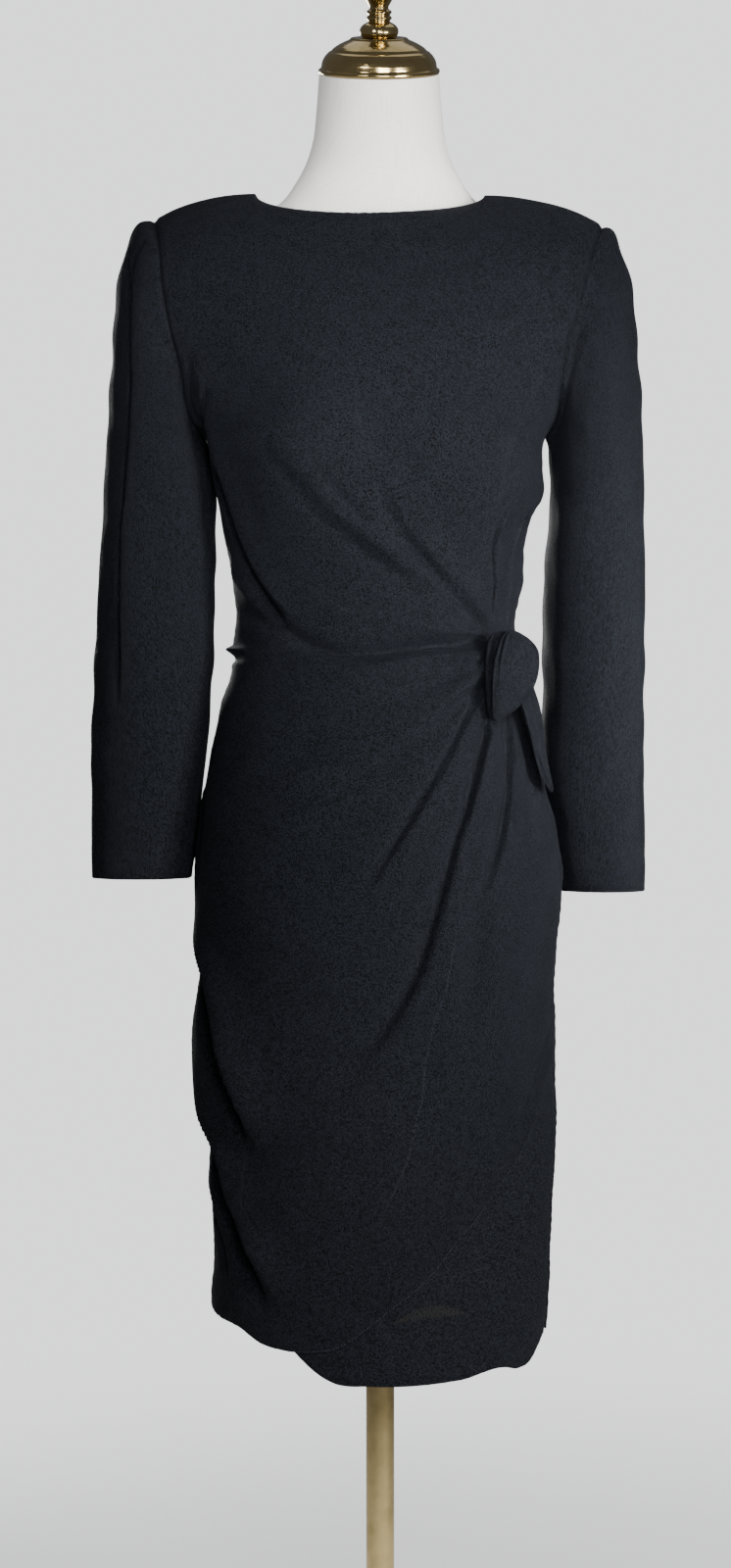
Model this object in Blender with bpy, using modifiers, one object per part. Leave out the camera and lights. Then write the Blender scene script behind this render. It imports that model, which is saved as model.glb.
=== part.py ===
"""Draped wrap dress on a limbless dress form with a turned neck cap, a pole and a round base.

Metres, +Z up. The front faces -Y, the wearer's left is +X, and the origin is the middle of the
base's underside, on the pole's axis.
"""

import math

import bmesh
import bpy
import numpy as np

FRONT = -1
BACK = 1
LEFT = 1
RIGHT = -1
ALL = slice(None)

# Cloth
CLOTH = 0.0018
SEAM_GAP = 0.0003
ARMHOLE_GAP = 0.0005
MITRE_LIMIT = 0.6
LAYER_GAP = 0.0007

# Heights of the dress above the floor
WAIST_Z = 0.986
ARMPIT_Z = 1.178

# Towards the armpits the section grows squarer, from an ellipse, and above them it eases back
SQUARE_FROM_Z = 1.020
SQUARENESS = 0.36
SQUARE_EASE = 0.22

# Grids of the panels and of the tie's pieces
COLUMNS = 28
BODICE_ROWS = 11
YOKE_ROWS = 10
SKIRT_ROWS = 24
UNDER_COLUMNS = 14
UNDER_ROWS = 12
BACK_COLUMNS = 7
BACK_SKIRT_ROWS = 14
SLEEVE_RINGS = 16
TIE_ROWS = 13
KNOT_COLUMNS = 8
LOOP_COLUMNS = 4
TAIL_COLUMNS = 4
LEAF_COLUMNS = 8
ON_COLUMN = 1e-6
TINY = 1e-12

# Sections of the dress: where the side seams lie, and above the armpits the armholes,
# and how far the cloth stands in front of and behind the side seams at the middle.
DRESS_NAMES = ("z", "right", "left", "front", "back")
DRESS = (
    (0.350, -0.1400, 0.1385, 0.0990, 0.1000),
    (0.380, -0.1440, 0.1425, 0.1010, 0.1015),
    (0.412, -0.1496, 0.1480, 0.1035, 0.1030),
    (0.435, -0.1480, 0.1496, 0.1050, 0.1045),
    (0.487, -0.1480, 0.1514, 0.1075, 0.1075),
    (0.522, -0.1530, 0.1530, 0.1090, 0.1095),
    (0.557, -0.1545, 0.1560, 0.1100, 0.1115),
    (0.590, -0.1605, 0.1566, 0.1110, 0.1135),
    (0.627, -0.1644, 0.1557, 0.1120, 0.1160),
    (0.665, -0.1630, 0.1550, 0.1125, 0.1185),
    (0.696, -0.1600, 0.1550, 0.1130, 0.1210),
    (0.735, -0.1645, 0.1585, 0.1130, 0.1240),
    (0.765, -0.1655, 0.1615, 0.1125, 0.1260),
    (0.800, -0.1650, 0.1615, 0.1120, 0.1270),
    (0.840, -0.1600, 0.1540, 0.1100, 0.1240),
    (0.870, -0.1555, 0.1455, 0.1075, 0.1190),
    (0.905, -0.1490, 0.1380, 0.1040, 0.1110),
    (0.940, -0.1418, 0.1315, 0.0985, 0.0990),
    (0.966, -0.1330, 0.1265, 0.0945, 0.0915),
    (0.986, -0.1305, 0.1225, 0.0925, 0.0870),
    (1.005, -0.1290, 0.1195, 0.0925, 0.0860),
    (1.018, -0.1279, 0.1200, 0.0935, 0.0855),
    (1.044, -0.1305, 0.1250, 0.0960, 0.0860),
    (1.070, -0.1340, 0.1260, 0.1000, 0.0880),
    (1.096, -0.1390, 0.1305, 0.1045, 0.0910),
    (1.123, -0.1444, 0.1395, 0.1090, 0.0945),
    (1.150, -0.1500, 0.1410, 0.1130, 0.0975),
    (1.178, -0.1560, 0.1470, 0.1150, 0.1000),
    (1.186, -0.1640, 0.1520, 0.1150, 0.1005),
    (1.200, -0.1695, 0.1555, 0.1140, 0.1015),
    (1.225, -0.1725, 0.1580, 0.1110, 0.1025),
    (1.252, -0.1790, 0.1625, 0.1060, 0.1020),
    (1.290, -0.1870, 0.1720, 0.0955, 0.0985),
    (1.327, -0.1915, 0.1820, 0.0815, 0.0910),
    (1.350, -0.1945, 0.1890, 0.0705, 0.0800),
    (1.368, -0.1997, 0.1966, 0.0620, 0.0690),
)

# The bust, as two soft mounds on the front
BUST_Z = 1.150
BUST_X = 0.072
BUST_HEIGHT = 0.012
BUST_WIDTH = 0.042
BUST_RISE = 0.050

# The armholes, ovals in side view, and how flat the section is half-way up them
ARMHOLE_FRONT = 0.062
ARMHOLE_BACK = 0.068
YOKE_FLATNESS = 0.66

# The shoulder seams run from the tips to the neck points, and the neckline between those
TIP_Z = {RIGHT: 1.3696, LEFT: 1.3650}
NECK_U = {RIGHT: -0.5, LEFT: 3 / 7}
NECK_Z = 1.393
NECKLINE_DROP = {FRONT: 0.0310, BACK: 0.0120}

# Folds of the cloth: three points that each line passes through, seen from the front, how far it
# stands out (or in, when negative), and how far it fades to its right-hand and left-hand sides.
FOLD_NAMES = ("x0", "z0", "x1", "z1", "x2", "z2", "height", "right_width", "left_width")
BODICE_FOLDS = (
    (0.098, 1.010, 0.037, 1.068, -0.029, 1.217, 0.0060, 0.011, 0.024),
    (0.094, 1.014, 0.052, 1.074, -0.010, 1.185, -0.0045, 0.016, 0.016),
    (0.092, 1.016, 0.068, 1.090, -0.017, 1.211, 0.0030, 0.014, 0.020),
    (0.090, 1.012, -0.017, 1.070, -0.095, 1.165, 0.0040, 0.018, 0.014),
    (0.086, 1.006, -0.020, 1.048, -0.110, 1.132, -0.0035, 0.012, 0.016),
    (-0.082, 1.022, -0.108, 1.057, -0.135, 1.127, -0.0050, 0.012, 0.012),
    (0.092, 0.999, -0.007, 0.995, -0.120, 1.006, 0.0045, 0.010, 0.010),
    (0.099, 1.040, 0.105, 1.107, 0.123, 1.145, -0.0040, 0.012, 0.012),
)
SKIRT_FOLDS = (
    (0.084, 0.935, 0.041, 0.868, -0.016, 0.771, -0.0035, 0.010, 0.016),
    (0.098, 0.930, 0.056, 0.856, -0.006, 0.745, 0.0040, 0.016, 0.016),
    (0.092, 0.920, 0.063, 0.807, -0.031, 0.611, -0.0065, 0.012, 0.026),
    (0.106, 0.925, 0.088, 0.812, 0.006, 0.585, 0.0060, 0.018, 0.026),
    (0.113, 0.926, 0.110, 0.842, 0.080, 0.756, -0.0055, 0.010, 0.016),
    (0.084, 0.966, 0.012, 0.916, -0.060, 0.878, -0.0040, 0.014, 0.012),
    (0.070, 0.955, -0.002, 0.905, -0.085, 0.889, 0.0035, 0.012, 0.014),
    (-0.158, 0.698, -0.145, 0.642, -0.117, 0.570, -0.0060, 0.012, 0.016),
    (-0.152, 0.545, -0.128, 0.490, -0.090, 0.432, -0.0055, 0.012, 0.016),
    (-0.150, 0.625, -0.122, 0.520, -0.075, 0.410, 0.0045, 0.016, 0.020),
)
FOLD_RISE = 0.12
FOLD_START = 0.4
FOLD_SAMPLES = 21
SEAM_FADE = 0.10

# The under panel lies deeper where the wrap's folds cover it
UNDER_DEPTH = 0.0050
UNDER_SIDE_DEPTH = 0.0018
UNDER_EASE = 0.10

# Hems of the front panels: the wrap's petal edge and the under panel's, seen from the front
HEM_NAMES = ("x", "z")
WRAP_HEM = (
    (-0.155, 0.412),
    (-0.132, 0.405),
    (-0.112, 0.396),
    (-0.086, 0.388),
    (-0.061, 0.387),
    (-0.036, 0.397),
    (0.017, 0.434),
    (0.069, 0.484),
    (0.096, 0.517),
    (0.117, 0.555),
    (0.133, 0.588),
    (0.147, 0.628),
    (0.155, 0.648),
)
UNDER_HEM = (
    (-0.149, 0.620),
    (-0.135, 0.520),
    (-0.110, 0.440),
    (-0.074, 0.387),
    (-0.050, 0.366),
    (-0.010, 0.3625),
    (0.043, 0.3625),
    (0.109, 0.3640),
    (0.136, 0.3640),
    (0.149, 0.3700),
)
BACK_HEM = ((-0.150, 0.412), (0.000, 0.388), (0.150, 0.370))

# Sleeves, from the armhole down: the outer and the inner end of each ring, its middle's y
# and half its depth. x is measured away from the middle of the body.
SLEEVE_HEAD = 0.45
SLEEVE_NAMES = ("out_x", "out_z", "in_x", "in_z", "y", "depth")
SLEEVES = {
    RIGHT: (
        (0.2135, 1.3645, 0.1590, 1.1700, 0.000, 0.066),
        (0.2245, 1.3435, 0.1585, 1.1600, 0.000, 0.067),
        (0.2310, 1.3200, 0.1570, 1.1490, 0.000, 0.067),
        (0.2355, 1.2850, 0.1550, 1.1360, 0.000, 0.066),
        (0.2385, 1.2350, 0.1520, 1.1200, 0.000, 0.064),
        (0.2415, 1.1850, 0.1500, 1.1000, 0.000, 0.062),
        (0.2460, 1.1150, 0.1490, 1.0650, 0.001, 0.058),
        (0.2500, 1.0450, 0.1493, 1.0200, 0.002, 0.054),
        (0.2540, 0.9800, 0.1505, 0.9700, 0.004, 0.050),
        (0.2573, 0.9050, 0.1555, 0.9050, 0.006, 0.045),
        (0.2572, 0.8500, 0.1625, 0.8500, 0.008, 0.041),
        (0.2567, 0.7876, 0.1690, 0.7876, 0.010, 0.037),
    ),
    LEFT: (
        (0.2050, 1.3590, 0.1500, 1.1710, 0.000, 0.065),
        (0.2123, 1.3435, 0.1515, 1.1620, 0.000, 0.066),
        (0.2200, 1.3226, 0.1525, 1.1510, 0.001, 0.066),
        (0.2255, 1.2900, 0.1530, 1.1380, 0.002, 0.065),
        (0.2295, 1.2400, 0.1520, 1.1200, 0.004, 0.063),
        (0.2320, 1.1900, 0.1500, 1.1000, 0.006, 0.061),
        (0.2338, 1.1200, 0.1465, 1.0650, 0.009, 0.058),
        (0.2350, 1.0450, 0.1453, 1.0200, 0.013, 0.054),
        (0.2350, 0.9800, 0.1455, 0.9700, 0.018, 0.050),
        (0.2345, 0.9050, 0.1490, 0.9050, 0.026, 0.045),
        (0.2356, 0.8400, 0.1600, 0.8400, 0.032, 0.041),
        (0.2366, 0.7745, 0.1640, 0.7745, 0.036, 0.037),
    ),
}

# The tie: the knot, the loop and the tail lie over the front's base surface, lifted off its folds
KNOT = {
    "u": (0.555, 0.690),
    "z": (0.928, 1.004),
    "lift": 0.0090,
    "height": 0.0090,
    "ridges": 3,
    "ridge": 0.0020,
    "thickness": 0.0015,
}
LOOP = {"u": (0.465, 0.545), "z": (0.945, 1.0085), "lift": 0.0095, "height": 0.0050}
TAIL_NAMES = ("z", "u", "half_width", "lift")
TAIL = (
    (0.957, 0.790, 0.075, 0.0075),
    (0.935, 0.840, 0.095, 0.0080),
    (0.912, 0.880, 0.105, 0.0085),
    (0.890, 0.905, 0.085, 0.0090),
    (0.876, 0.922, 0.045, 0.0095),
    (0.866, 0.935, 0.010, 0.0100),
)
TAIL_THICKNESS = 0.0024
LEAF_NAMES = ("z", "right", "left")
LEAF = (
    (0.9255, 0.1000, 0.1020),
    (0.9310, 0.0988, 0.1125),
    (0.9410, 0.0984, 0.1225),
    (0.9510, 0.0980, 0.1300),
    (0.9640, 0.0980, 0.1343),
    (0.9780, 0.0982, 0.1358),
    (0.9900, 0.0986, 0.1345),
    (0.9985, 0.0994, 0.1270),
    (1.0050, 0.1015, 0.1085),
)
LEAF_Y = -0.0835
LEAF_SLANT = 0.45
LEAF_BULGE = 0.006
LEAF_THICKNESS = 0.0026

# The form, from its flat underside to the slanted top of its neck
FORM_NAMES = ("z", "half_width", "front", "back", "middle_y", "slant")
FORM = (
    (0.7350, 0.1240, 0.0800, 0.0900, 0.000, 0.0),
    (0.7420, 0.1330, 0.0880, 0.0980, 0.000, 0.0),
    (0.7600, 0.1400, 0.0940, 0.1040, 0.000, 0.0),
    (0.8000, 0.1430, 0.0960, 0.1080, 0.000, 0.0),
    (0.8500, 0.1370, 0.0940, 0.1050, 0.000, 0.0),
    (0.9000, 0.1270, 0.0880, 0.0960, 0.000, 0.0),
    (0.9450, 0.1180, 0.0800, 0.0840, 0.000, 0.0),
    (0.9860, 0.1110, 0.0750, 0.0740, 0.000, 0.0),
    (1.0300, 0.1110, 0.0770, 0.0720, 0.000, 0.0),
    (1.0750, 0.1160, 0.0860, 0.0760, 0.000, 0.0),
    (1.1200, 0.1240, 0.0950, 0.0820, 0.000, 0.0),
    (1.1600, 0.1310, 0.0985, 0.0860, 0.000, 0.0),
    (1.2000, 0.1380, 0.0970, 0.0880, 0.000, 0.0),
    (1.2400, 0.1450, 0.0910, 0.0890, 0.000, 0.0),
    (1.2800, 0.1510, 0.0810, 0.0860, 0.000, 0.0),
    (1.3150, 0.1510, 0.0690, 0.0780, 0.000, 0.0),
    (1.3380, 0.1420, 0.0600, 0.0700, 0.000, 0.0),
    (1.3560, 0.1260, 0.0530, 0.0580, 0.000, 0.0),
    (1.3720, 0.1050, 0.0480, 0.0500, 0.000, 0.0),
    (1.3860, 0.0865, 0.0455, 0.0460, 0.000, 0.03),
    (1.4000, 0.0760, 0.0470, 0.0530, 0.000, 0.07),
    (1.4157, 0.0667, 0.0500, 0.0520, -0.002, 0.12),
    (1.4380, 0.0590, 0.0520, 0.0520, -0.004, 0.20),
    (1.4660, 0.0555, 0.0525, 0.0525, -0.008, 0.30),
    (1.4975, 0.0530, 0.0530, 0.0530, -0.012, 0.40),
)
FORM_SIDES = 24
FORM_X = -0.0010

# The turned cap and finial, along their own axis from the neck's top
CAP_SLANT = math.atan(FORM[-1][5])
CAP_PROFILE = (
    (0.0535, 0.0000),
    (0.0535, 0.0035),
    (0.0515, 0.0055),
    (0.0500, 0.0105),
    (0.0455, 0.0170),
    (0.0415, 0.0200),
    (0.0370, 0.0235),
    (0.0300, 0.0275),
    (0.0250, 0.0300),
)
FINIAL_PROFILE = (
    (0.0150, 0.0000),
    (0.0172, 0.0050),
    (0.0150, 0.0105),
    (0.0095, 0.0135),
    (0.0112, 0.0160),
    (0.0095, 0.0185),
    (0.0112, 0.0210),
    (0.0082, 0.0240),
    (0.0108, 0.0300),
    (0.0150, 0.0365),
    (0.0165, 0.0440),
    (0.0150, 0.0525),
    (0.0100, 0.0600),
    (0.0040, 0.0640),
)
TURNED_SIDES = 20

# The stand under the torso
SOCKET_PROFILE = (
    (0.0200, 0.7000),
    (0.0220, 0.7020),
    (0.0220, 0.7240),
    (0.0450, 0.7290),
    (0.0450, 0.7347),
)
POLE_RADIUS = 0.0125
POLE_BOTTOM = 0.0183
POLE_TOP = 0.6997
BASE_PROFILE = (
    (0.1480, 0.0000),
    (0.1500, 0.0020),
    (0.1500, 0.0060),
    (0.1460, 0.0090),
    (0.0900, 0.0120),
    (0.0300, 0.0135),
    (0.0220, 0.0160),
    (0.0210, 0.0180),
)

# Colours, roughness and metallic value
CLOTH_FINISH = ((0.012, 0.013, 0.016, 1.0), 0.85, 0.0)
LINEN_FINISH = ((0.80, 0.79, 0.74, 1.0), 0.90, 0.0)
BRASS_FINISH = ((0.55, 0.42, 0.18, 1.0), 0.22, 1.0)


def smooth(at, table, columns, name):
    """Value of a table's column at some places of its first column, on a cubic curve through the rows."""
    rows = np.array(table)
    places = rows[:, 0]
    values = rows[:, columns.index(name)]
    slopes = np.gradient(values, places)
    at = np.clip(at, places[0], places[-1])
    row = np.clip(np.searchsorted(places, at) - 1, 0, len(places) - 2)
    step = places[row + 1] - places[row]
    t = (at - places[row]) / step
    start = values[row] * (1 + 2 * t) * (1 - t) ** 2 + slopes[row] * step * t * (1 - t) ** 2
    end = values[row + 1] * t**2 * (3 - 2 * t) - slopes[row + 1] * step * t**2 * (1 - t)
    return start + end


def dress(name, z):
    return smooth(z, DRESS, DRESS_NAMES, name)


def fade(value, start, end):
    """0 up to start, 1 from end on, and a smooth step between them."""
    t = np.clip((value - start) / (end - start), 0, 1)
    return t * t * (3 - 2 * t)


def bust(x, z):
    """Height of the two mounds of the bust."""
    rise = np.exp(-(((z - BUST_Z) / BUST_RISE) ** 2))
    mounds = sum(np.exp(-(((x - side * BUST_X) / BUST_WIDTH) ** 2)) for side in (LEFT, RIGHT))
    return BUST_HEIGHT * rise * mounds


def body_surface(u, z, side):
    """Half an oval from the right side seam (u = -1) to the left one (u = 1) at each height."""
    angle = u * math.pi / 2
    right = dress("right", z)
    left = dress("left", z)
    x = (left + right) / 2 + (left - right) / 2 * np.sin(angle)
    depth = dress("front" if side == FRONT else "back", z)
    if side == FRONT:
        depth = depth + bust(x, z)
    power = 1 - SQUARENESS * fade(z, SQUARE_FROM_Z, ARMPIT_Z)
    y = side * depth * np.clip(np.cos(angle), 0, 1) ** power
    return np.stack((x, y, z + 0 * x), axis=-1)


def neckline(u):
    """0 on the shoulder seams, and half an ellipse over the neckline between the neck points."""
    middle = (NECK_U[LEFT] + NECK_U[RIGHT]) / 2
    half = (NECK_U[LEFT] - NECK_U[RIGHT]) / 2
    return np.sqrt(np.clip(1 - ((u - middle) / half) ** 2, 0, 1))


def yoke_surface(u, w, side):
    """The body from the armpits (w = 0) to the shoulder seams and neckline (w = 1).

    Each section is an arc between the armhole's edges, and towards the top its bulge turns over
    the shoulder as a quarter circle, all but what the neckline keeps.
    """
    rise = (1 - np.cos(math.pi * w)) / 2
    tip = np.where(u < 0, TIP_Z[RIGHT], TIP_Z[LEFT])
    edge_z = ARMPIT_Z + rise * ((TIP_Z[RIGHT] + TIP_Z[LEFT]) / 2 - ARMPIT_Z)
    right = dress("right", edge_z)
    left = dress("left", edge_z)
    flatness = YOKE_FLATNESS * np.sin(math.pi * np.minimum(w, 0.5))
    opening = np.arccos(flatness)
    x = (left + right) / 2 + (left - right) / 2 * np.sin(u * opening) / np.sin(opening)
    power = 1 - SQUARENESS * (1 - fade(w, 0, SQUARE_EASE))
    arc = np.clip((np.cos(u * opening) - flatness) / (1 - flatness), 0, 1) ** power
    turn = np.sqrt(1 - rise**2)
    bulge = neckline(u) + (arc - neckline(u)) * turn
    edge = (ARMHOLE_FRONT if side == FRONT else ARMHOLE_BACK) * np.sin(math.pi * w)
    middle_z = ARMPIT_Z + rise * (NECK_Z - NECKLINE_DROP[side] - ARMPIT_Z)
    depth = dress("front" if side == FRONT else "back", middle_z)
    out = np.clip(np.abs(u) - np.where(u < 0, -NECK_U[RIGHT], NECK_U[LEFT]), 0, 1)
    reach = 1 - np.where(u < 0, -NECK_U[RIGHT], NECK_U[LEFT])
    top = NECK_Z - (NECK_Z - tip) * (out / reach) ** 2 - NECKLINE_DROP[side] * neckline(u)
    z = ARMPIT_Z + rise * (top - ARMPIT_Z)
    if side == FRONT:
        depth = depth + bust(x, z) * arc
    y = side * (edge + (depth - edge) * bulge)
    return np.stack((x, y, z), axis=-1)


def relief(points, folds):
    """Sum of the folds' heights at each point, read in front view."""
    x = points[..., 0, None]
    z = points[..., 2, None]
    t = np.linspace(0, 1, FOLD_SAMPLES)
    total = np.zeros(points.shape[:-1])
    for row in folds:
        fold = dict(zip(FOLD_NAMES, row))
        line_x, line_z = (
            fold[f"{axis}0"] * (1 - t) * (1 - 2 * t)
            + fold[f"{axis}1"] * 4 * t * (1 - t)
            + fold[f"{axis}2"] * t * (2 * t - 1)
            for axis in "xz"
        )
        distance = np.hypot(x - line_x, z - line_z)
        nearest = distance.argmin(axis=-1)
        along = t[nearest]
        to_left = points[..., 0] > line_x[nearest]
        width = np.where(to_left, fold["left_width"], fold["right_width"])
        strength = np.minimum(1, along / FOLD_RISE + FOLD_START) * (1 - along**2)
        total += fold["height"] * strength * np.exp(-((distance.min(axis=-1) / width) ** 2))
    return total


def unit(vectors):
    return vectors / (np.linalg.norm(vectors, axis=-1, keepdims=True) + TINY)


def grid_normals(points):
    """Unit normals of a grid of points, pointing away from the pole's axis."""
    normals = unit(np.cross(np.gradient(points, axis=1), np.gradient(points, axis=0)))
    row, column = points.shape[0] // 2, points.shape[1] // 2
    outwards = np.dot(normals[row, column, :2], points[row, column, :2]) > 0
    return normals if outwards else -normals


def seam(points, normals, edge, axis, direction, where=True):
    """Draws a panel's edge half a gap back from the seam, and cuts its wall square to the seam."""
    normals[edge + (axis,)] = np.where(where, 0, normals[edge + (axis,)])
    normals[edge] /= np.linalg.norm(normals[edge], axis=-1, keepdims=True)
    points[edge + (axis,)] += np.where(where, direction * SEAM_GAP / 2, 0)


def finish(name, mesh, look):
    """Puts a mesh in the collection as an object with its own material."""
    colour, roughness, metallic = look
    material = bpy.data.materials.new(name)
    material.use_nodes = True
    shader = material.node_tree.nodes["Principled BSDF"]
    shader.inputs["Base Color"].default_value = colour
    shader.inputs["Roughness"].default_value = roughness
    shader.inputs["Metallic"].default_value = metallic
    mesh.materials.append(material)
    mesh.shade_smooth()
    piece = bpy.data.objects.new(name, mesh)
    collection.objects.link(piece)
    return piece


def wall(name, outer, normals, thickness=CLOTH, around=False):
    """A cloth wall: the outer grid, the same grid moved in along the normals, and the rims."""
    rows, columns = outer.shape[:2]
    inner = outer - normals * thickness
    count = rows * columns
    index = np.arange(count).reshape(rows, columns)
    if around:
        index = np.concatenate((index, index[:, :1]), axis=1)
    quads = np.stack((index[:-1, :-1], index[:-1, 1:], index[1:, 1:], index[1:, :-1]), axis=-1)
    edges = [index[0], index[-1, ::-1]]
    if not around:
        edges += [index[::-1, 0], index[:, -1]]
    faces = quads.reshape(-1, 4).tolist()
    faces += (quads.reshape(-1, 4)[:, ::-1] + count).tolist()
    for edge in edges:
        rim = np.stack((edge[1:], edge[:-1], edge[:-1] + count, edge[1:] + count), axis=-1)
        faces += rim.tolist()
    mesh = bpy.data.meshes.new(name)
    mesh.from_pydata(np.concatenate((outer, inner)).reshape(-1, 3).tolist(), [], faces)
    work = bmesh.new()
    work.from_mesh(mesh)
    bmesh.ops.recalc_face_normals(work, faces=work.faces)
    work.to_mesh(mesh)
    work.free()
    return finish(name, mesh, CLOTH_FINISH)


def turned(name, profile, look):
    """A solid of revolution about Z from (radius, height) rows, flat at both ends."""
    radii, heights = zip(*profile)
    mesh = bpy.data.meshes.new(name)
    points = [(0, 0, heights[-1])]
    points += [(r, 0, h) for r, h in reversed(profile)]
    points += [(0, 0, heights[0])]
    mesh.from_pydata(points, [(i, i + 1) for i in range(len(points) - 1)], [])
    piece = finish(name, mesh, look)
    screw = piece.modifiers.new("Turn", "SCREW")
    screw.steps = screw.render_steps = TURNED_SIDES
    screw.use_merge_vertices = True
    screw.merge_threshold = 0.00001
    return piece


def grid(rows, columns, low=-1.0, high=1.0):
    """Row and column parameters of a panel: 0 to 1 up the rows, low to high along the columns."""
    return np.meshgrid(np.linspace(0, 1, rows + 1), np.linspace(low, high, columns + 1), indexing="ij")


def bodice_grid(side, columns, low, high):
    """Points from the waist seam up to the shoulders and neckline, a row for each height."""
    v, u = grid(BODICE_ROWS, columns, low, high)
    z = WAIST_Z + v * (ARMPIT_Z - WAIST_Z)
    below = body_surface(u, z, side)
    w, u = grid(YOKE_ROWS, columns, low, high)
    above = yoke_surface(u, w, side)
    return np.concatenate((below, above[1:])), u[0]


def bodice_seams(points, normals, u, side):
    """Gaps at the waist, along the shoulders and, where the panel reaches them, at the side seams."""
    seam(points, normals, (0, ALL), 2, 1)
    shoulder = (u <= NECK_U[RIGHT] + ON_COLUMN) | (u >= NECK_U[LEFT] - ON_COLUMN)
    seam(points, normals, (-1, ALL), 1, side, shoulder)
    sides = slice(0, BODICE_ROWS + 1)
    for column, end in ((0, RIGHT), (-1, LEFT)):
        if abs(u[column]) == 1:
            seam(points, normals, (sides, column), 1, side)
        else:
            seam(points, normals, (ALL, column), 0, -end)


def make_bodice():
    """Grids of the draped front and the two back panels, with the armholes' edges as views of them."""
    points, u = bodice_grid(FRONT, COLUMNS, -1, 1)
    normals = grid_normals(points)
    height = relief(points, BODICE_FOLDS) * (1 - fade(np.abs(u), 1 - SEAM_FADE, 1))
    bodice_seams(points, normals, u, FRONT)
    points += normals * height[..., None]
    panels = {"bodice_front": (points, normals)}
    above = slice(BODICE_ROWS, None)
    armholes = {
        RIGHT: [(points[above, 0], normals[above, 0])],
        LEFT: [(points[above, -1], normals[above, -1])],
    }
    for end, name, low, high, column in ((RIGHT, "right", -1, 0, 0), (LEFT, "left", 0, 1, -1)):
        points, u = bodice_grid(BACK, BACK_COLUMNS, low, high)
        normals = grid_normals(points)
        bodice_seams(points, normals, u, BACK)
        panels[f"bodice_back_{name}"] = (points, normals)
        armholes[end].append((points[above, column], normals[above, column]))
    return panels, armholes


def make_sleeve(end, name, armhole):
    """A tube of rings, the first along the armhole, the others between their outer and inner ends."""
    (front, front_normals), (back, back_normals) = armhole
    first = np.concatenate((front[::-1], back[1:-1]))
    body_normals = np.concatenate((front_normals[::-1], back_normals[1:-1]))
    angle = np.linspace(0, 2 * math.pi, len(first) + 1)[:-1]
    tip, armpit = first[0], first[len(front) - 1]
    armhole_row = (abs(tip[0]), tip[2], abs(armpit[0]), armpit[2], 0, first[:, 1].max())
    rows = np.array((armhole_row,) + SLEEVES[end])
    table = np.column_stack((np.linspace(0, 1, len(rows)), rows))
    t = np.linspace(0, 1, SLEEVE_RINGS + 1)[:, None]
    value = {c: smooth(t, table, ("t",) + SLEEVE_NAMES, c) for c in SLEEVE_NAMES}
    outer = (1 + np.cos(angle)) / 2
    x = value["in_x"] + (value["out_x"] - value["in_x"]) * outer
    z = value["in_z"] + (value["out_z"] - value["in_z"]) * outer
    y = value["y"] - value["depth"] * np.sin(angle)
    points = np.stack((end * x, y + 0 * x, z), axis=-1)
    points += (first - points[0]) * (1 - fade(t, 0, SLEEVE_HEAD))[..., None]
    closed = np.concatenate((points[:, -1:], points, points[:, :1]), axis=1)
    normals = unit(np.cross(np.gradient(closed, axis=1), np.gradient(closed, axis=0)))[:, 1:-1]
    if normals[-1, 0, 0] * end < 0:
        normals = -normals
    mitre = unit(body_normals + normals[0])
    mitre /= np.clip((mitre * body_normals).sum(axis=-1, keepdims=True), MITRE_LIMIT, 1)
    away = points[1] - first
    away -= mitre * ((away * mitre).sum(axis=-1) / (mitre**2).sum(axis=-1))[:, None]
    points[0] += unit(away) * ARMHOLE_GAP
    normals[0] = mitre
    count = len(front)
    front_normals[:] = mitre[:count][::-1]
    back_normals[1:-1] = mitre[count:]
    back_normals[0] = mitre[count - 1]
    back_normals[-1] = mitre[0]
    wall(f"sleeve_{name}", points, normals, around=True)


def skirt_grid(side, rows, columns, low, high, hem):
    """Points from the waist seam down to a hem that is given by its height over x."""
    v, u = grid(rows, columns, low, high)
    bottom = smooth(hem[-1][0] * np.sin(u * math.pi / 2), hem, HEM_NAMES, "z")
    z = WAIST_Z + v * (bottom - WAIST_Z)
    return body_surface(u, z, side), u[0]


def skirt_seams(points, normals, u, side):
    seam(points, normals, (0, ALL), 2, -1)
    for column, end in ((0, RIGHT), (-1, LEFT)):
        if abs(u[column]) == 1:
            seam(points, normals, (ALL, column), 1, side)
        else:
            seam(points, normals, (ALL, column), 0, -end)


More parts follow.
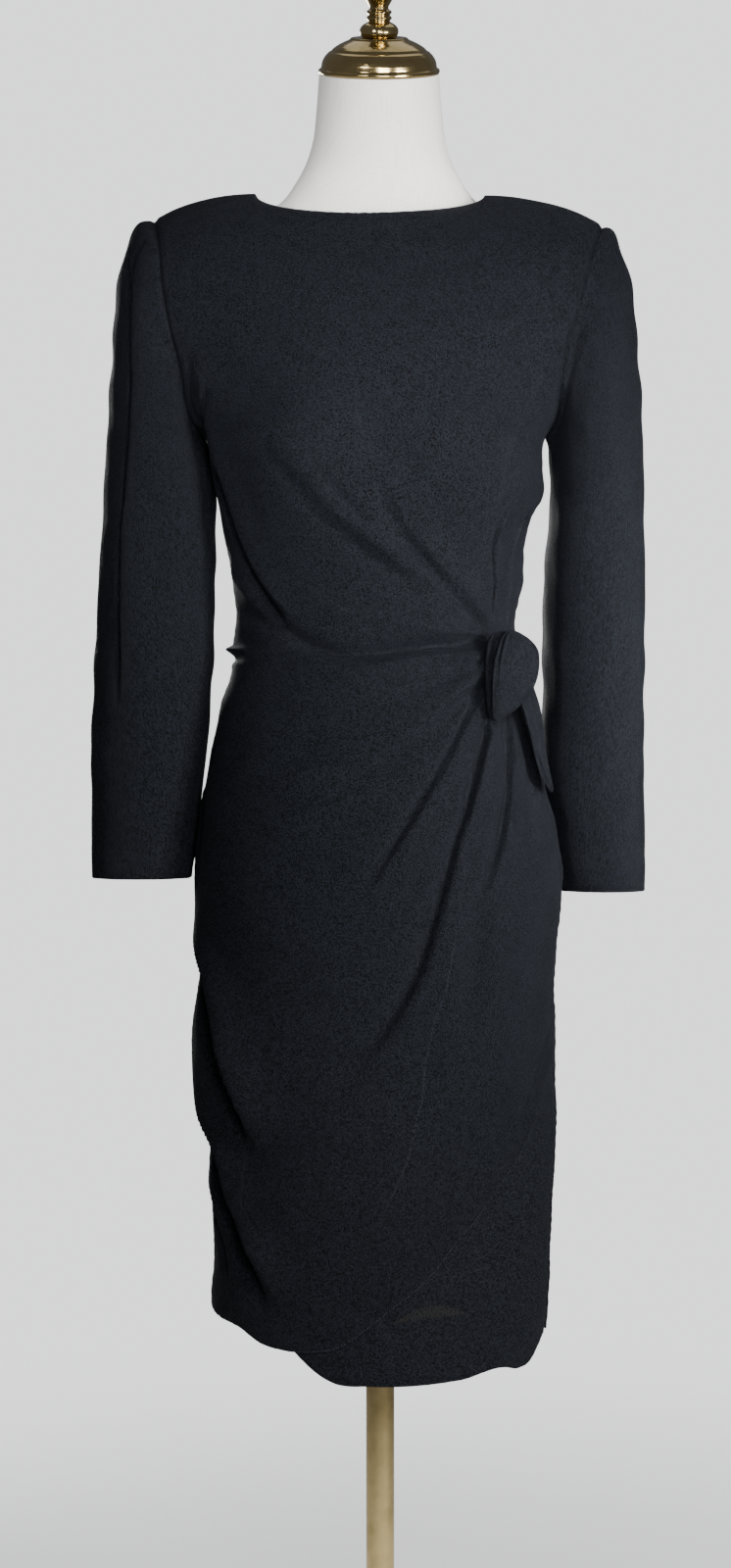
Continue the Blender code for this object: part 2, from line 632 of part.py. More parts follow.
def make_skirt():
    """The wrap panel, the under panel inside it, and the two back panels."""
    points, u = skirt_grid(FRONT, SKIRT_ROWS, COLUMNS, -1, 1, WRAP_HEM)
    normals = grid_normals(points)
    height = relief(points, SKIRT_FOLDS) * (1 - fade(np.abs(u), 1 - SEAM_FADE, 1))
    skirt_seams(points, normals, u, FRONT)
    wall("skirt_wrap", points + normals * height[..., None], normals)

    points, u = skirt_grid(FRONT, UNDER_ROWS, UNDER_COLUMNS, -1, 1, UNDER_HEM)
    normals = grid_normals(points)
    over_hem = points[..., 2] - smooth(points[..., 0], WRAP_HEM, HEM_NAMES, "z")
    hidden = fade(over_hem, 0, UNDER_EASE) * (1 - fade(np.abs(u), 1 - 2 * SEAM_FADE, 1))
    skirt_seams(points, normals, u, FRONT)
    inset = CLOTH + LAYER_GAP + UNDER_DEPTH * hidden + UNDER_SIDE_DEPTH * fade(over_hem, 0, UNDER_EASE)
    wall("skirt_under", points - normals * inset[..., None], normals)

    for name, low, high in (("right", -1, 0), ("left", 0, 1)):
        points, u = skirt_grid(BACK, BACK_SKIRT_ROWS, BACK_COLUMNS, low, high, BACK_HEM)
        normals = grid_normals(points)
        skirt_seams(points, normals, u, BACK)
        wall(f"skirt_back_{name}", points, normals)


def over_wrap(u, z, lift):
    """Points at a lift over the front's base surface."""
    points = body_surface(u, z, FRONT)
    normals = grid_normals(points)
    return points + normals * lift[..., None], normals


def make_tie():
    """The gathered knot, the loop over it, the leaf-shaped end and the narrow end."""
    v, s = grid(TIE_ROWS, KNOT_COLUMNS, 0, 1)
    u = KNOT["u"][0] + s * (KNOT["u"][1] - KNOT["u"][0])
    z = KNOT["z"][0] + v * (KNOT["z"][1] - KNOT["z"][0])
    dome = np.sqrt(np.clip(np.sin(math.pi * s) * np.sin(math.pi * v), 0, 1))
    ridges = KNOT["ridge"] * np.sin(2 * math.pi * KNOT["ridges"] * s) * dome
    points, normals = over_wrap(u, z, KNOT["lift"] + KNOT["height"] * dome + ridges)
    wall("tie_knot", points, normals, KNOT["thickness"])

    v, s = grid(TIE_ROWS, LOOP_COLUMNS, 0, 1)
    u = LOOP["u"][0] + s * (LOOP["u"][1] - LOOP["u"][0])
    z = LOOP["z"][0] + v * (LOOP["z"][1] - LOOP["z"][0])
    lift = LOOP["lift"] + LOOP["height"] * np.sin(math.pi * s)
    points, normals = over_wrap(u, z, lift)
    wall("tie_loop", points, normals)

    v, s = grid(TIE_ROWS, TAIL_COLUMNS, -1, 1)
    rows = TAIL[::-1]
    z = rows[0][0] + v * (rows[-1][0] - rows[0][0])
    middle = smooth(z, rows, TAIL_NAMES, "u")
    half = smooth(z, rows, TAIL_NAMES, "half_width")
    lift = smooth(z, rows, TAIL_NAMES, "lift") + TAIL_THICKNESS
    points, normals = over_wrap(middle + half * s, z, lift)
    wall("tie_tail", points, normals, TAIL_THICKNESS)

    v, s = grid(TIE_ROWS, LEAF_COLUMNS, 0, 1)
    z = LEAF[0][0] + v * (LEAF[-1][0] - LEAF[0][0])
    right = smooth(z, LEAF, LEAF_NAMES, "right")
    left = smooth(z, LEAF, LEAF_NAMES, "left")
    x = right + s * (left - right)
    bulge = LEAF_BULGE * np.sin(math.pi * s) * np.sin(math.pi * v)
    y = LEAF_Y + LEAF_SLANT * (x - right.min()) - bulge
    points = np.stack((x, y, z), axis=-1)
    wall("tie_leaf", points, grid_normals(points), LEAF_THICKNESS)


def make_form():
    """The torso as a loft of rings, closed by a flat underside and the neck's slanted flat top."""
    rows = np.array(FORM)
    angle = np.arange(FORM_SIDES) * 2 * math.pi / FORM_SIDES
    z, half, front, back, middle, slant = (rows[:, i, None] for i in range(len(FORM_NAMES)))
    forward = -np.cos(angle)
    y = np.where(forward < 0, front, back) * forward
    points = np.stack((FORM_X + half * np.sin(angle), middle + y, z + slant * y), axis=-1)
    count = FORM_SIDES
    index = np.arange(len(rows) * count).reshape(len(rows), count)
    index = np.concatenate((index, index[:, :1]), axis=1)
    quads = np.stack((index[:-1, :-1], index[:-1, 1:], index[1:, 1:], index[1:, :-1]), axis=-1)
    faces = quads.reshape(-1, 4).tolist()
    faces += [index[0, :-1][::-1].tolist(), index[-1, :-1].tolist()]
    mesh = bpy.data.meshes.new("form_torso")
    mesh.from_pydata(points.reshape(-1, 3).tolist(), [], faces)
    finish("form_torso", mesh, LINEN_FINISH)

    top_z, _, _, _, top_y, _ = FORM[-1]
    lifted = SEAM_GAP
    for name, profile in (("form_neck_cap", CAP_PROFILE), ("form_finial", FINIAL_PROFILE)):
        piece = turned(name, profile, BRASS_FINISH)
        piece.location = (
            FORM_X,
            top_y - lifted * math.sin(CAP_SLANT),
            top_z + lifted * math.cos(CAP_SLANT),
        )
        piece.rotation_euler = (CAP_SLANT, 0, 0)
        lifted += CAP_PROFILE[-1][1] + SEAM_GAP


def make_stand():
    turned("form_socket", SOCKET_PROFILE, BRASS_FINISH)
    turned("form_pole", ((POLE_RADIUS, POLE_BOTTOM), (POLE_RADIUS, POLE_TOP)), BRASS_FINISH)
    turned("form_base", BASE_PROFILE, BRASS_FINISH)


for old in list(bpy.data.objects):
    bpy.data.objects.remove(old)

collection = bpy.data.collections.new("wrap_dress_on_form")
bpy.context.scene.collection.children.link(collection)

bodice, armholes = make_bodice()
make_sleeve(RIGHT, "right", armholes[RIGHT])
make_sleeve(LEFT, "left", armholes[LEFT])
for panel, (outer, normals) in bodice.items():
    wall(panel, outer, normals)
make_skirt()
make_tie()
make_form()
make_stand()
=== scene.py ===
import math

import bmesh
import bpy
import numpy as np
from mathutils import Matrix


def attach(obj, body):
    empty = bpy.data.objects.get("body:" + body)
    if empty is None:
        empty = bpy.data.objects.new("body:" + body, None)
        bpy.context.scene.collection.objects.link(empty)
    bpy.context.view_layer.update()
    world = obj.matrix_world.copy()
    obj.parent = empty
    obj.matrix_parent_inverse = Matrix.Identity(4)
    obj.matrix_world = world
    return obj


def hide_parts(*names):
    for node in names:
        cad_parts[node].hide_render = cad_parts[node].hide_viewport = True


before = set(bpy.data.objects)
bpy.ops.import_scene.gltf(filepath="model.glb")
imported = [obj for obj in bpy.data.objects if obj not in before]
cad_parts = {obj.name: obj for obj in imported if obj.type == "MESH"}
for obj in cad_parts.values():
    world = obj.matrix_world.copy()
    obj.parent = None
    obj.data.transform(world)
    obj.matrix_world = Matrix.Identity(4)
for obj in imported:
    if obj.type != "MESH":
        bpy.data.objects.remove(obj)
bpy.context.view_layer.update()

front = -1
back = 1
print("frame loaded")


# Tables and curves

def metres(*rows):  # the tables are in tenths of a millimetre
    return np.array(rows) / 10000


def easing(value, start, end):  # 0 up to start, 1 from end on, a smooth step between
    t = np.clip((value - start) / (end - start), 0, 1)
    return t * t * (3 - 2 * t)


def along(at, table, name):
    # A column's value at some places of the first column: a cubic through the rows,
    # whose slope at a row comes from the rows beside it
    known = table["rows"][:, 0]
    values = table["rows"][:, table["names"].index(name)]
    slopes = np.gradient(values, known)
    at = np.clip(at, known[0], known[-1])
    row = np.clip(np.searchsorted(known, at) - 1, 0, len(known) - 2)
    step = known[row + 1] - known[row]
    t = (at - known[row]) / step
    low = values[row] * (1 + 2 * t) * (1 - t) ** 2 + slopes[row] * step * t * (1 - t) ** 2
    high = values[row + 1] * t**2 * (3 - 2 * t) - slopes[row + 1] * step * t**2 * (1 - t)
    return low + high


def curveThrough(points, count):  # the same cubic through a list of points, at even steps
    points = np.array(points, float)
    table = {"names": ["at", 0, 1], "rows": np.column_stack((np.arange(len(points)), points))}
    at = np.linspace(0, len(points) - 1, count)
    return np.stack((along(at, table, 0), along(at, table, 1)), axis=-1)


def unit(vectors):
    return vectors / np.maximum(np.linalg.norm(vectors, axis=-1, keepdims=True), 1e-9)


def places(count, low, high, crowds=()):
    # Steps from low to high, smaller round each crowd: its middle, its width, how much denser it is
    fine = np.linspace(low, high, 4001)
    weight = np.ones(len(fine))
    for middle, width, denser in crowds:
        weight += denser * np.exp(-(((fine - middle) / width) ** 2))
    run = np.concatenate(([0], np.cumsum((weight[1:] + weight[:-1]) / 2)))
    return np.interp(np.linspace(0, run[-1], count + 1), run, fine)


def pastEnd(steps):  # with one more step before the first
    return np.concatenate((2 * steps[:1] - steps[1:2], steps))


def grid(rows, columns):
    return np.meshgrid(rows, columns, indexing="ij")


def outwardNormals(points, around=False):  # from the grid's own directions, away from the pole
    wide = np.concatenate((points[:, -1:], points, points[:, :1]), axis=1) if around else points
    normals = unit(np.cross(np.gradient(wide, axis=1), np.gradient(wide, axis=0)))
    return normals[:, 1:-1] if around else normals


# The dress's base form

body = {
    "waistZ": 0.986,
    "armpitZ": 1.178,
    "squareFromZ": 1.02,
    "squareness": 0.36,
    "squareEase": 0.34,
    "bustZ": 1.15,
    "bustX": 0.072,
    "bustHeight": 0.012,
    "bustWidth": 0.042,
    "bustRise": 0.05,
    "armhole": {front: 0.062, back: 0.068},
    "yokeFlatness": 0.66,
    "tipRightZ": 1.3696,
    "tipLeftZ": 1.365,
    "neckRightU": -0.5,
    "neckLeftU": 3 / 7,
    "neckZ": 1.393,
    "neckDrop": {front: 0.031, back: 0.012},
    "neckTurn": 0.055,
    "yokeEase": (0.05, 0.5),
    "bustFade": 0.3,
    "sagUntil": 0.3,
    "shoulderSag": {-1: 0.0008, 1: 0.0024},
    "depth": {front: "front", back: "back"},
    "flareTurn": 8,  # how close to the edge the flare keeps
    "withoutFlare": {
        "names": ("z", "right", "left"),
        "rows": metres(
            (11230, -1444, 1395), (11500, -1500, 1410), (11780, -1560, 1470), (12150, -1640, 1540),
            (12520, -1725, 1610), (12900, -1835, 1705), (13270, -1915, 1820), (13680, -1997, 1966),
        ),
    },
    "names": ("z", "right", "left", "front", "back"),
    "rows": metres(
        (3500, -1400, 1425, 990, 1000), (3800, -1440, 1466, 1010, 1015), (4120, -1496, 1500, 1035, 1030),
        (4350, -1480, 1512, 1050, 1045), (4870, -1480, 1532, 1075, 1075), (5220, -1520, 1550, 1090, 1095),
        (5570, -1515, 1572, 1100, 1115), (5900, -1595, 1566, 1110, 1135), (6270, -1672, 1557, 1120, 1160),
        (6650, -1660, 1550, 1125, 1185), (6960, -1608, 1550, 1130, 1210), (7200, -1590, 1570, 1130, 1230),
        (7420, -1605, 1590, 1130, 1245), (7650, -1640, 1615, 1125, 1260), (8000, -1650, 1615, 1120, 1270),
        (8400, -1600, 1540, 1100, 1240), (8700, -1555, 1455, 1075, 1190), (9050, -1490, 1380, 1040, 1110),
        (9400, -1418, 1315, 985, 990), (9660, -1330, 1265, 945, 915), (9860, -1305, 1225, 925, 870),
        (10050, -1290, 1195, 925, 860), (10180, -1279, 1200, 935, 855), (10440, -1305, 1250, 960, 860),
        (10700, -1340, 1260, 1000, 880), (10960, -1390, 1305, 1045, 910), (11230, -1444, 1395, 1090, 945),
        (11500, -1500, 1410, 1130, 975), (11780, -1560, 1470, 1150, 1000),
        (11860, -1640, 1520, 1150, 1005), (12000, -1695, 1555, 1140, 1015),
        (12250, -1725, 1580, 1110, 1025), (12520, -1790, 1625, 1060, 1020), (12900, -1870, 1720, 955, 985),
        (13270, -1915, 1820, 815, 910), (13500, -1945, 1890, 705, 800), (13680, -1997, 1966, 620, 690),
    ),
}


def bust(x, z):  # two soft mounds
    rise = np.exp(-(((z - body["bustZ"]) / body["bustRise"]) ** 2))
    right = np.exp(-(((x + body["bustX"]) / body["bustWidth"]) ** 2))
    left = np.exp(-(((x - body["bustX"]) / body["bustWidth"]) ** 2))
    return body["bustHeight"] * rise * (right + left)


def bodySurface(u, z, side):
    # Half an oval at each height, from the right side seam (u = -1) to the left one (u = 1):
    # x = middle + half width * sin(90 deg * u), y = depth * cos(90 deg * u) ^ power
    angle = u * math.pi / 2
    right = along(z, body, "right")
    left = along(z, body, "left")
    x = (left + right) / 2 + (left - right) / 2 * np.sin(angle)
    depth = along(z, body, body["depth"][side])
    if side == front:
        depth = depth + bust(x, z)
    power = 1 - body["squareness"] * easing(z, body["squareFromZ"], body["armpitZ"])
    y = side * depth * np.clip(np.cos(angle), 0, 1) ** power
    return np.stack((x, y, z + 0 * x), axis=-1)


def neckArch(u):  # 0 on the shoulder seams, half an ellipse over the neckline
    middle = (body["neckLeftU"] + body["neckRightU"]) / 2
    half = (body["neckLeftU"] - body["neckRightU"]) / 2
    return np.sqrt(np.clip(1 - ((u - middle) / half) ** 2, 0, 1))


def yokeSurface(u, w, side):
    # From the armpits (w = 0) to the shoulder seams and neckline (w = 1): each section is the part
    # of an oval between the armhole's edges, and its bulge turns over the shoulder as a quarter circle.
    # The edges flare out above the armpit, and what is further in doesn't
    rise = (1 - np.cos(math.pi * w)) / 2
    tip = np.where(u < 0, body["tipRightZ"], body["tipLeftZ"])
    edgeZ = body["armpitZ"] + rise * ((body["tipRightZ"] + body["tipLeftZ"]) / 2 - body["armpitZ"])
    right = along(edgeZ, body["withoutFlare"], "right")
    left = along(edgeZ, body["withoutFlare"], "left")
    flare = np.where(u < 0, along(edgeZ, body, "right") - right, along(edgeZ, body, "left") - left)
    edge = body["armhole"][side] * np.sin(math.pi * w)
    middleZ = body["armpitZ"] + rise * (body["neckZ"] - body["neckDrop"][side] - body["armpitZ"])
    depth = along(middleZ, body, body["depth"][side])
    power = 1 - body["squareness"] * (1 - easing(rise, 0, body["squareEase"]))
    flatness = (edge / depth) ** (1 / power)
    flatness = flatness + (body["yokeFlatness"] - flatness) * easing(w, *body["yokeEase"])
    opening = np.arccos(flatness)
    across = np.sin(u * opening) / np.sin(opening)
    x = (left + right) / 2 + (left - right) / 2 * across + flare * np.abs(across) ** body["flareTurn"]
    cut = flatness**power
    arc = (np.clip(np.cos(u * opening), 0, 1) ** power - cut) / (1 - cut)
    arc = np.clip(arc, 0, 1)
    arch = neckArch(u)
    bulge = arch + (arc - arch) * np.sqrt(1 - rise**2)
    neckU = np.where(u < 0, -body["neckRightU"], body["neckLeftU"])
    out = np.clip(np.abs(u) - neckU, 0, 1) / (1 - neckU)
    sag = np.where(u < 0, body["shoulderSag"][-1], body["shoulderSag"][1])
    drop = body["neckDrop"][side] * arch * (1 - body["neckTurn"] * u)
    top = body["neckZ"] - (body["neckZ"] - tip) * out**2 - drop
    top = top - sag * (1 - arch) * (1 - easing(out, body["sagUntil"], 1))
    z = body["armpitZ"] + rise * (top - body["armpitZ"])
    if side == front:
        depth = depth + bust(x, z) * (arc + (1 - arc) * (1 - easing(rise, 0, body["bustFade"])))
    return np.stack((x, side * (edge + (depth - edge) * bulge), z), axis=-1)


# Folds: ridges and valleys along lines on the cloth

fold = {
    "names": ("height", "leftWidth", "rightWidth", "rise", "fall", "spread"),
    "usual": {"rise": 0.3, "fall": 0.5, "spread": 1.4},
    "points": 60,  # along a line
    "widths": 3.2,  # to each side, past which it is left out
    "pastEnds": 0.04,  # share of its length
    "unevenness": 0.14,
    "unevenTurn": 11,
    "unevenStep": 2.3,
}


def lineOf(*points):  # (place in thousandths, height in tenths of a millimetre), as a smooth line
    return curveThrough(np.array(points) / (1000, 10000), fold["points"])


def folds(*lines):
    # Each one's line, its height and widths to the left and right in tenths of a millimetre, then
    # the shares of its length where it has risen and begins to fall, and how much wider it ends
    made = []
    for points, *sizes in lines:
        sizes[:3] = metres(*sizes[:3])
        made.append({**fold["usual"], "line": lineOf(*points), **dict(zip(fold["names"], sizes))})
    return made


def besideLine(spots, line):  # distance to the line's left side, share of the way along it
    tangent = unit(np.gradient(line, axis=0))
    step = np.linalg.norm(np.diff(line, axis=0), axis=1).mean()
    offset = spots[:, None] - line
    closest = (offset**2).sum(axis=-1).argmin(axis=-1)
    offset = offset[np.arange(len(closest)), closest]
    direction = tangent[closest]
    share = (closest + (offset * direction).sum(axis=-1) / step) / (len(line) - 1)
    return direction[:, 0] * offset[:, 1] - direction[:, 1] * offset[:, 0], share


def relief(place, height, ridges, reach):
    # Sum of the folds' heights. A fold is a Gaussian of the distance from its line, with its own
    # width on each side, both growing along it, and it rises and dies out towards its ends
    total = np.zeros(place.shape)
    spots = np.stack((place * reach, height), axis=-1)
    past = fold["pastEnds"]
    for number, ridge in enumerate(ridges):
        line = ridge["line"] * (reach, 1)
        margin = fold["widths"] * max(ridge["leftWidth"], ridge["rightWidth"]) * max(1, ridge["spread"])
        inReach = ((spots > line.min(axis=0) - margin) & (spots < line.max(axis=0) + margin)).all(axis=-1)
        if not inReach.any():
            continue
        side, share = besideLine(spots[inReach], line)
        width = np.where(side > 0, ridge["leftWidth"], ridge["rightWidth"])
        width = width * (1 + (ridge["spread"] - 1) * np.clip(share, 0, 1))
        strength = easing(share, -past, ridge["rise"]) * (1 - easing(share, ridge["fall"], 1 + past))
        uneven = 1 + fold["unevenness"] * np.sin(fold["unevenTurn"] * share + fold["unevenStep"] * number)
        total[inReach] += ridge["height"] * strength * uneven * np.exp(-((side / width) ** 2))
    return total


reachOfU = 0.19  # metres of cloth for each step of 1 in u
gathered = {
    "start": 0.004,
    "height": 0.0012,
    "width": 0.0026,
    "bends": (0, 0.05, 0.14),
    "lengthSwing": 0.45,
    "heightSwing": 0.4,
    "lengthTurn": 2.4,
    "heightTurn": 1.7,
    "rise": 0.12,
    "fall": 0.25,
    "spread": 1.9,
}


def gathers(centre, turn, count, length):
    # Short folds that fan out of a point: their turns, lengths and heights vary in steps
    made = []
    start = gathered["start"]
    for k in range(count):
        angle = math.radians(turn[0] + (turn[1] - turn[0]) * (k + 0.5) / count)
        run = length * (1 + gathered["lengthSwing"] * math.sin(gathered["lengthTurn"] * k + 1))
        points = [
            (
                centre[0] + math.cos(angle + bend) * distance / reachOfU,
                centre[1] + math.sin(angle + bend) * distance,
            )
            for distance, bend in zip((start, start + run / 2, start + run), gathered["bends"])
        ]
        swing = gathered["heightSwing"] * math.sin(gathered["heightTurn"] * k)
        height = gathered["height"] * (1 + swing) * (-1) ** k
        width = gathered["width"]
        sizes = {"height": height, "leftWidth": width, "rightWidth": width}
        made.append({**gathered, **sizes, "line": curveThrough(points, fold["points"])})
    return made


def ripples(place, height, settings, reach):
    # Faint unevenness: a sum of waves with turns, lengths and phases from a seeded generator
    dice = np.random.default_rng(settings["seed"])
    total = np.zeros(place.shape)
    for _ in range(settings["count"]):
        angle = dice.uniform(0, math.pi)
        length = dice.uniform(*settings["lengths"])
        phase = dice.uniform(0, 2 * math.pi)
        across = place * reach * math.cos(angle) + height * math.sin(angle)
        total += np.sin(2 * math.pi * across / length + phase)
    return settings["height"] * total / math.sqrt(settings["count"])


# Cloth walls

cloth = {
    "thickness": 0.0018,
    "seamGap": 0.0001,
    "grooveDepth": 0.0014,
    "grooveWidth": 0.0023,
    "puckerHeight": 0.00035,
    "puckerLength": 0.0105,
    "puckerWidth": 0.007,
    "puckerDrift": 1.3,
    "driftTurn": 61,
    "hemRound": 0.5,
    "hemBand": 0.026,
    "hemStep": 0.00045,
    "hemEase": 0.002,
    "dimple": 0.6,
    "dimpleTurn": 0.31,
    "sharpFrom": 62,  # degrees
}
whole = slice(None)
near = slice(None, -1)
far = slice(1, None)
backwards = slice(None, None, -1)


def edgeRun(points, axis, end):  # distance of each point from one edge of its grid
    steps = np.linalg.norm(np.diff(points, axis=axis), axis=-1)
    if end:
        steps = np.flip(steps, axis)
    shape = list(steps.shape)
    shape[axis] = 1
    run = np.concatenate((np.zeros(shape), np.cumsum(steps, axis=axis)), axis=axis)
    return np.flip(run, axis) if end else run


def edgeFinish(points, edges):
    # Low along seams, with faint puckers beside them, and a soft step above a turned hem.
    # edges gives for low, high, first and last how much of a hem each one is, 0 for a seam.
    # An edge that it leaves out is a seam that lies in folds and hardly shows
    total = np.zeros(points.shape[:2])
    for name, axis, end in (("low", 0, False), ("high", 0, True), ("first", 1, False), ("last", 1, True)):
        if name not in edges:
            continue
        hem = np.expand_dims(np.broadcast_to(edges[name], (points.shape[1 - axis],)), axis)
        run = edgeRun(points, axis, end)
        beside = edgeRun(points, 1 - axis, False)
        groove = cloth["grooveDepth"] * np.exp(-((run / cloth["grooveWidth"]) ** 2))
        drift = cloth["puckerDrift"] * np.sin(beside * cloth["driftTurn"])
        phase = 2 * math.pi * beside / cloth["puckerLength"] + drift
        pucker = cloth["puckerHeight"] * np.sin(phase) * np.exp(-((run / cloth["puckerWidth"]) ** 2))
        top = cloth["hemBand"]
        band = cloth["hemStep"] * (1 - easing(run, top - cloth["hemEase"], top + cloth["hemEase"]))
        dimple = cloth["dimple"] * pucker * np.sin(phase * cloth["dimpleTurn"])
        total += (1 - hem) * (pucker - groove) + hem * (band + dimple)
    return total


def closed(values):  # with the first column once more at the end
    return np.concatenate((values, values[:, :1]), axis=1)


def lengths(points):  # a map by the grid's own lengths, across and down
    return np.stack((edgeRun(points, 1, False), edgeRun(points, 0, False)), axis=-1)


def squares(vertex, flat):  # a grid's faces, and their corners on the map
    corners = ((near, near), (near, far), (far, far), (far, near))
    faces = np.stack([vertex[c] for c in corners], axis=-1).reshape(-1, 4)
    return faces, np.stack([flat[c] for c in corners], axis=-2).reshape(-1, 4, 2)


def clothWall(name, points, normals, edges, around=False, marks=None):
    # A closed wall: the outer grid, the same grid moved in, and a rounded rim along each edge.
    # marks are values for each point that the finish reads by name
    thickness = cloth["thickness"]
    marks = marks or {}
    across = points[1, 1] - points[1, 0]
    down = points[2, 0] - points[1, 0]
    if np.dot(np.cross(across, down), normals[1, 0]) < 0:
        points = points[:, ::-1]
        normals = normals[:, ::-1]
        marks = {name: values[:, ::-1] for name, values in marks.items()}
        swapped = {"low": "low", "high": "high", "first": "last", "last": "first"}
        edges = {swapped[edge]: np.atleast_1d(hem)[::-1] for edge, hem in edges.items()}
    rows, columns = points.shape[:2]
    count = rows * columns
    inner = points - normals * thickness
    wide = closed(points) if around else points
    vertex = np.arange(count).reshape(rows, columns)
    vertex = closed(vertex) if around else vertex
    flat = lengths(wide)
    flat[..., 0] -= flat[:, [flat.shape[1] // 2], 0]
    outside, outsideMap = squares(vertex, flat)
    faces = [outside, outside[:, ::-1] + count]
    maps = [outsideMap, outsideMap[:, ::-1]]
    vertices = [points.reshape(-1, 3), inner.reshape(-1, 3)]
    sources = [np.arange(count), np.arange(count)]
    total = 2 * count
    lines = {"low": ((0, whole), (1, whole)), "high": ((-1, backwards), (-2, backwards))}
    if not around:
        lines["first"] = ((backwards, 0), (backwards, 1))
        lines["last"] = ((whole, -1), (whole, -2))
    for edge, (line, inside) in lines.items():
        ids = vertex[line]
        onEdge = wide[line]
        hem = np.broadcast_to(edges.get(edge, 0), onEdge.shape[:1])
        hem = hem if edge in ("low", "last") else hem[::-1]
        outwards = unit(onEdge - wide[inside]) * (hem * thickness * cloth["hemRound"])[:, None]
        middle = (onEdge + vertices[1][ids % count]) / 2 + outwards
        vertices.append(middle)
        sources.append(ids)
        middleIds = total + np.arange(len(ids))
        total += len(ids)
        run = flat[line]
        for a, b in ((ids, middleIds), (middleIds, ids + count)):
            faces.append(np.stack((a[1:], a[:-1], b[:-1], b[1:]), axis=-1))
            maps.append(np.stack((run[1:], run[:-1], run[:-1], run[1:]), axis=-2))
    piece = quadMesh(name, np.concatenate(vertices), np.concatenate(faces), np.concatenate(maps))
    for mark, values in marks.items():
        layer = piece.data.attributes.new(mark, "FLOAT_VECTOR", "POINT")
        values = values.reshape(-1, 3)[np.concatenate(sources)]
        layer.data.foreach_set("vector", values.astype(np.float32).ravel())
    return piece


def quadMesh(name, vertices, faces, maps=None):
    mesh = bpy.data.meshes.new(name)
    mesh.vertices.add(len(vertices))
    mesh.vertices.foreach_set("co", vertices.astype(np.float32).ravel())
    mesh.loops.add(faces.size)
    mesh.loops.foreach_set("vertex_index", faces.astype(np.int32).ravel())
    mesh.polygons.add(len(faces))
    mesh.polygons.foreach_set("loop_start", np.arange(0, faces.size, faces.shape[1], dtype=np.int32))
    if maps is not None:
        layer = mesh.uv_layers.new(name="cloth")
        layer.data.foreach_set("uv", maps.astype(np.float32).ravel())
    mesh.update(calc_edges=True)
    mesh.shade_smooth()
    mesh.set_sharp_from_angle(angle=math.radians(cloth["sharpFrom"]))
    piece = bpy.data.objects.new(name, mesh)
    bpy.context.scene.collection.objects.link(piece)
    return piece


# Materials

class Wire:  # one socket of a node; an operator on it adds a Math node
    def __init__(self, finish, socket):
        self.finish = finish
        self.socket = socket

    def math(self, operation, *values):
        return self.finish.node("ShaderNodeMath", {"operation": operation}, dict(enumerate(values)))

    def __add__(self, other):
        return self.math("ADD", self, other)

    __radd__ = __add__

    def __sub__(self, other):
        return self.math("SUBTRACT", self, other)

    def __rsub__(self, other):
        return self.math("SUBTRACT", other, self)

    def __mul__(self, other):
        return self.math("MULTIPLY", self, other)

    __rmul__ = __mul__

    def __truediv__(self, other):
        return self.math("DIVIDE", self, other)

    def __rtruediv__(self, other):
        return self.math("DIVIDE", other, self)

    def __pow__(self, other):
        return self.math("POWER", self, other)

    def sine(self):
        return self.math("SINE", self)

    def size(self):
        return self.math("ABSOLUTE", self)

    def ease(self, start, end):
        settings = {"interpolation_type": "SMOOTHSTEP"}
        if start > end:
            return 1 - self.ease(end, start)
        return self.finish.node("ShaderNodeMapRange", settings, {0: self, 1: start, 2: end})


class Finish:  # a material and its nodes
    def __init__(self, name):
        self.material = bpy.data.materials.new(name)
        self.material.use_nodes = True
        self.nodes = self.material.node_tree.nodes
        self.links = self.material.node_tree.links
        self.shader = self.nodes["Principled BSDF"]

    def node(self, kind, settings=None, inputs=None, output=0):
        made = self.nodes.new(kind)
        for key, value in (settings or {}).items():
            setattr(made, key, value)
        for key, value in (inputs or {}).items():
            self.feed(made.inputs[key], value)
        return Wire(self, made.outputs[output])

    def feed(self, socket, value):
        if isinstance(value, Wire):
            self.links.new(value.socket, socket)
        else:
            socket.default_value = value

    def surface(self, **values):  # sets or feeds the Principled shader, by socket name
        for key, value in values.items():
            self.feed(self.shader.inputs[key.replace("_", " ")], value)

    def coordinates(self, output="Object"):
        return self.node("ShaderNodeTexCoord", output=output)

    def stretched(self, vector, scale):
        return self.node("ShaderNodeMapping", inputs={"Vector": vector, "Scale": scale})

    def split(self, vector):
        made = self.node("ShaderNodeSeparateXYZ", inputs={0: vector})
        outputs = made.socket.node.outputs
        return [Wire(self, outputs[k]) for k in range(3)]

    def noise(self, vector, scale, detail=2.0, roughness=0.5):
        inputs = {"Vector": vector, "Scale": scale, "Detail": detail, "Roughness": roughness}
        return self.node("ShaderNodeTexNoise", inputs=inputs)

    def cells(self, vector, scale):  # an even random value for each small cell
        settings = {"voronoi_dimensions": "2D"}
        colour = self.node("ShaderNodeTexVoronoi", settings, {"Vector": vector, "Scale": scale}, "Color")
        return self.split(colour)[0]

    def mix(self, factor, first, second):  # two colours
        return self.node("ShaderNodeMix", {"data_type": "RGBA"}, {0: factor, 6: first, 7: second}, 2)

    def bump(self, height, strength, distance):
        inputs = {"Height": height, "Strength": strength, "Distance": distance}
        return self.node("ShaderNodeBump", inputs=inputs)


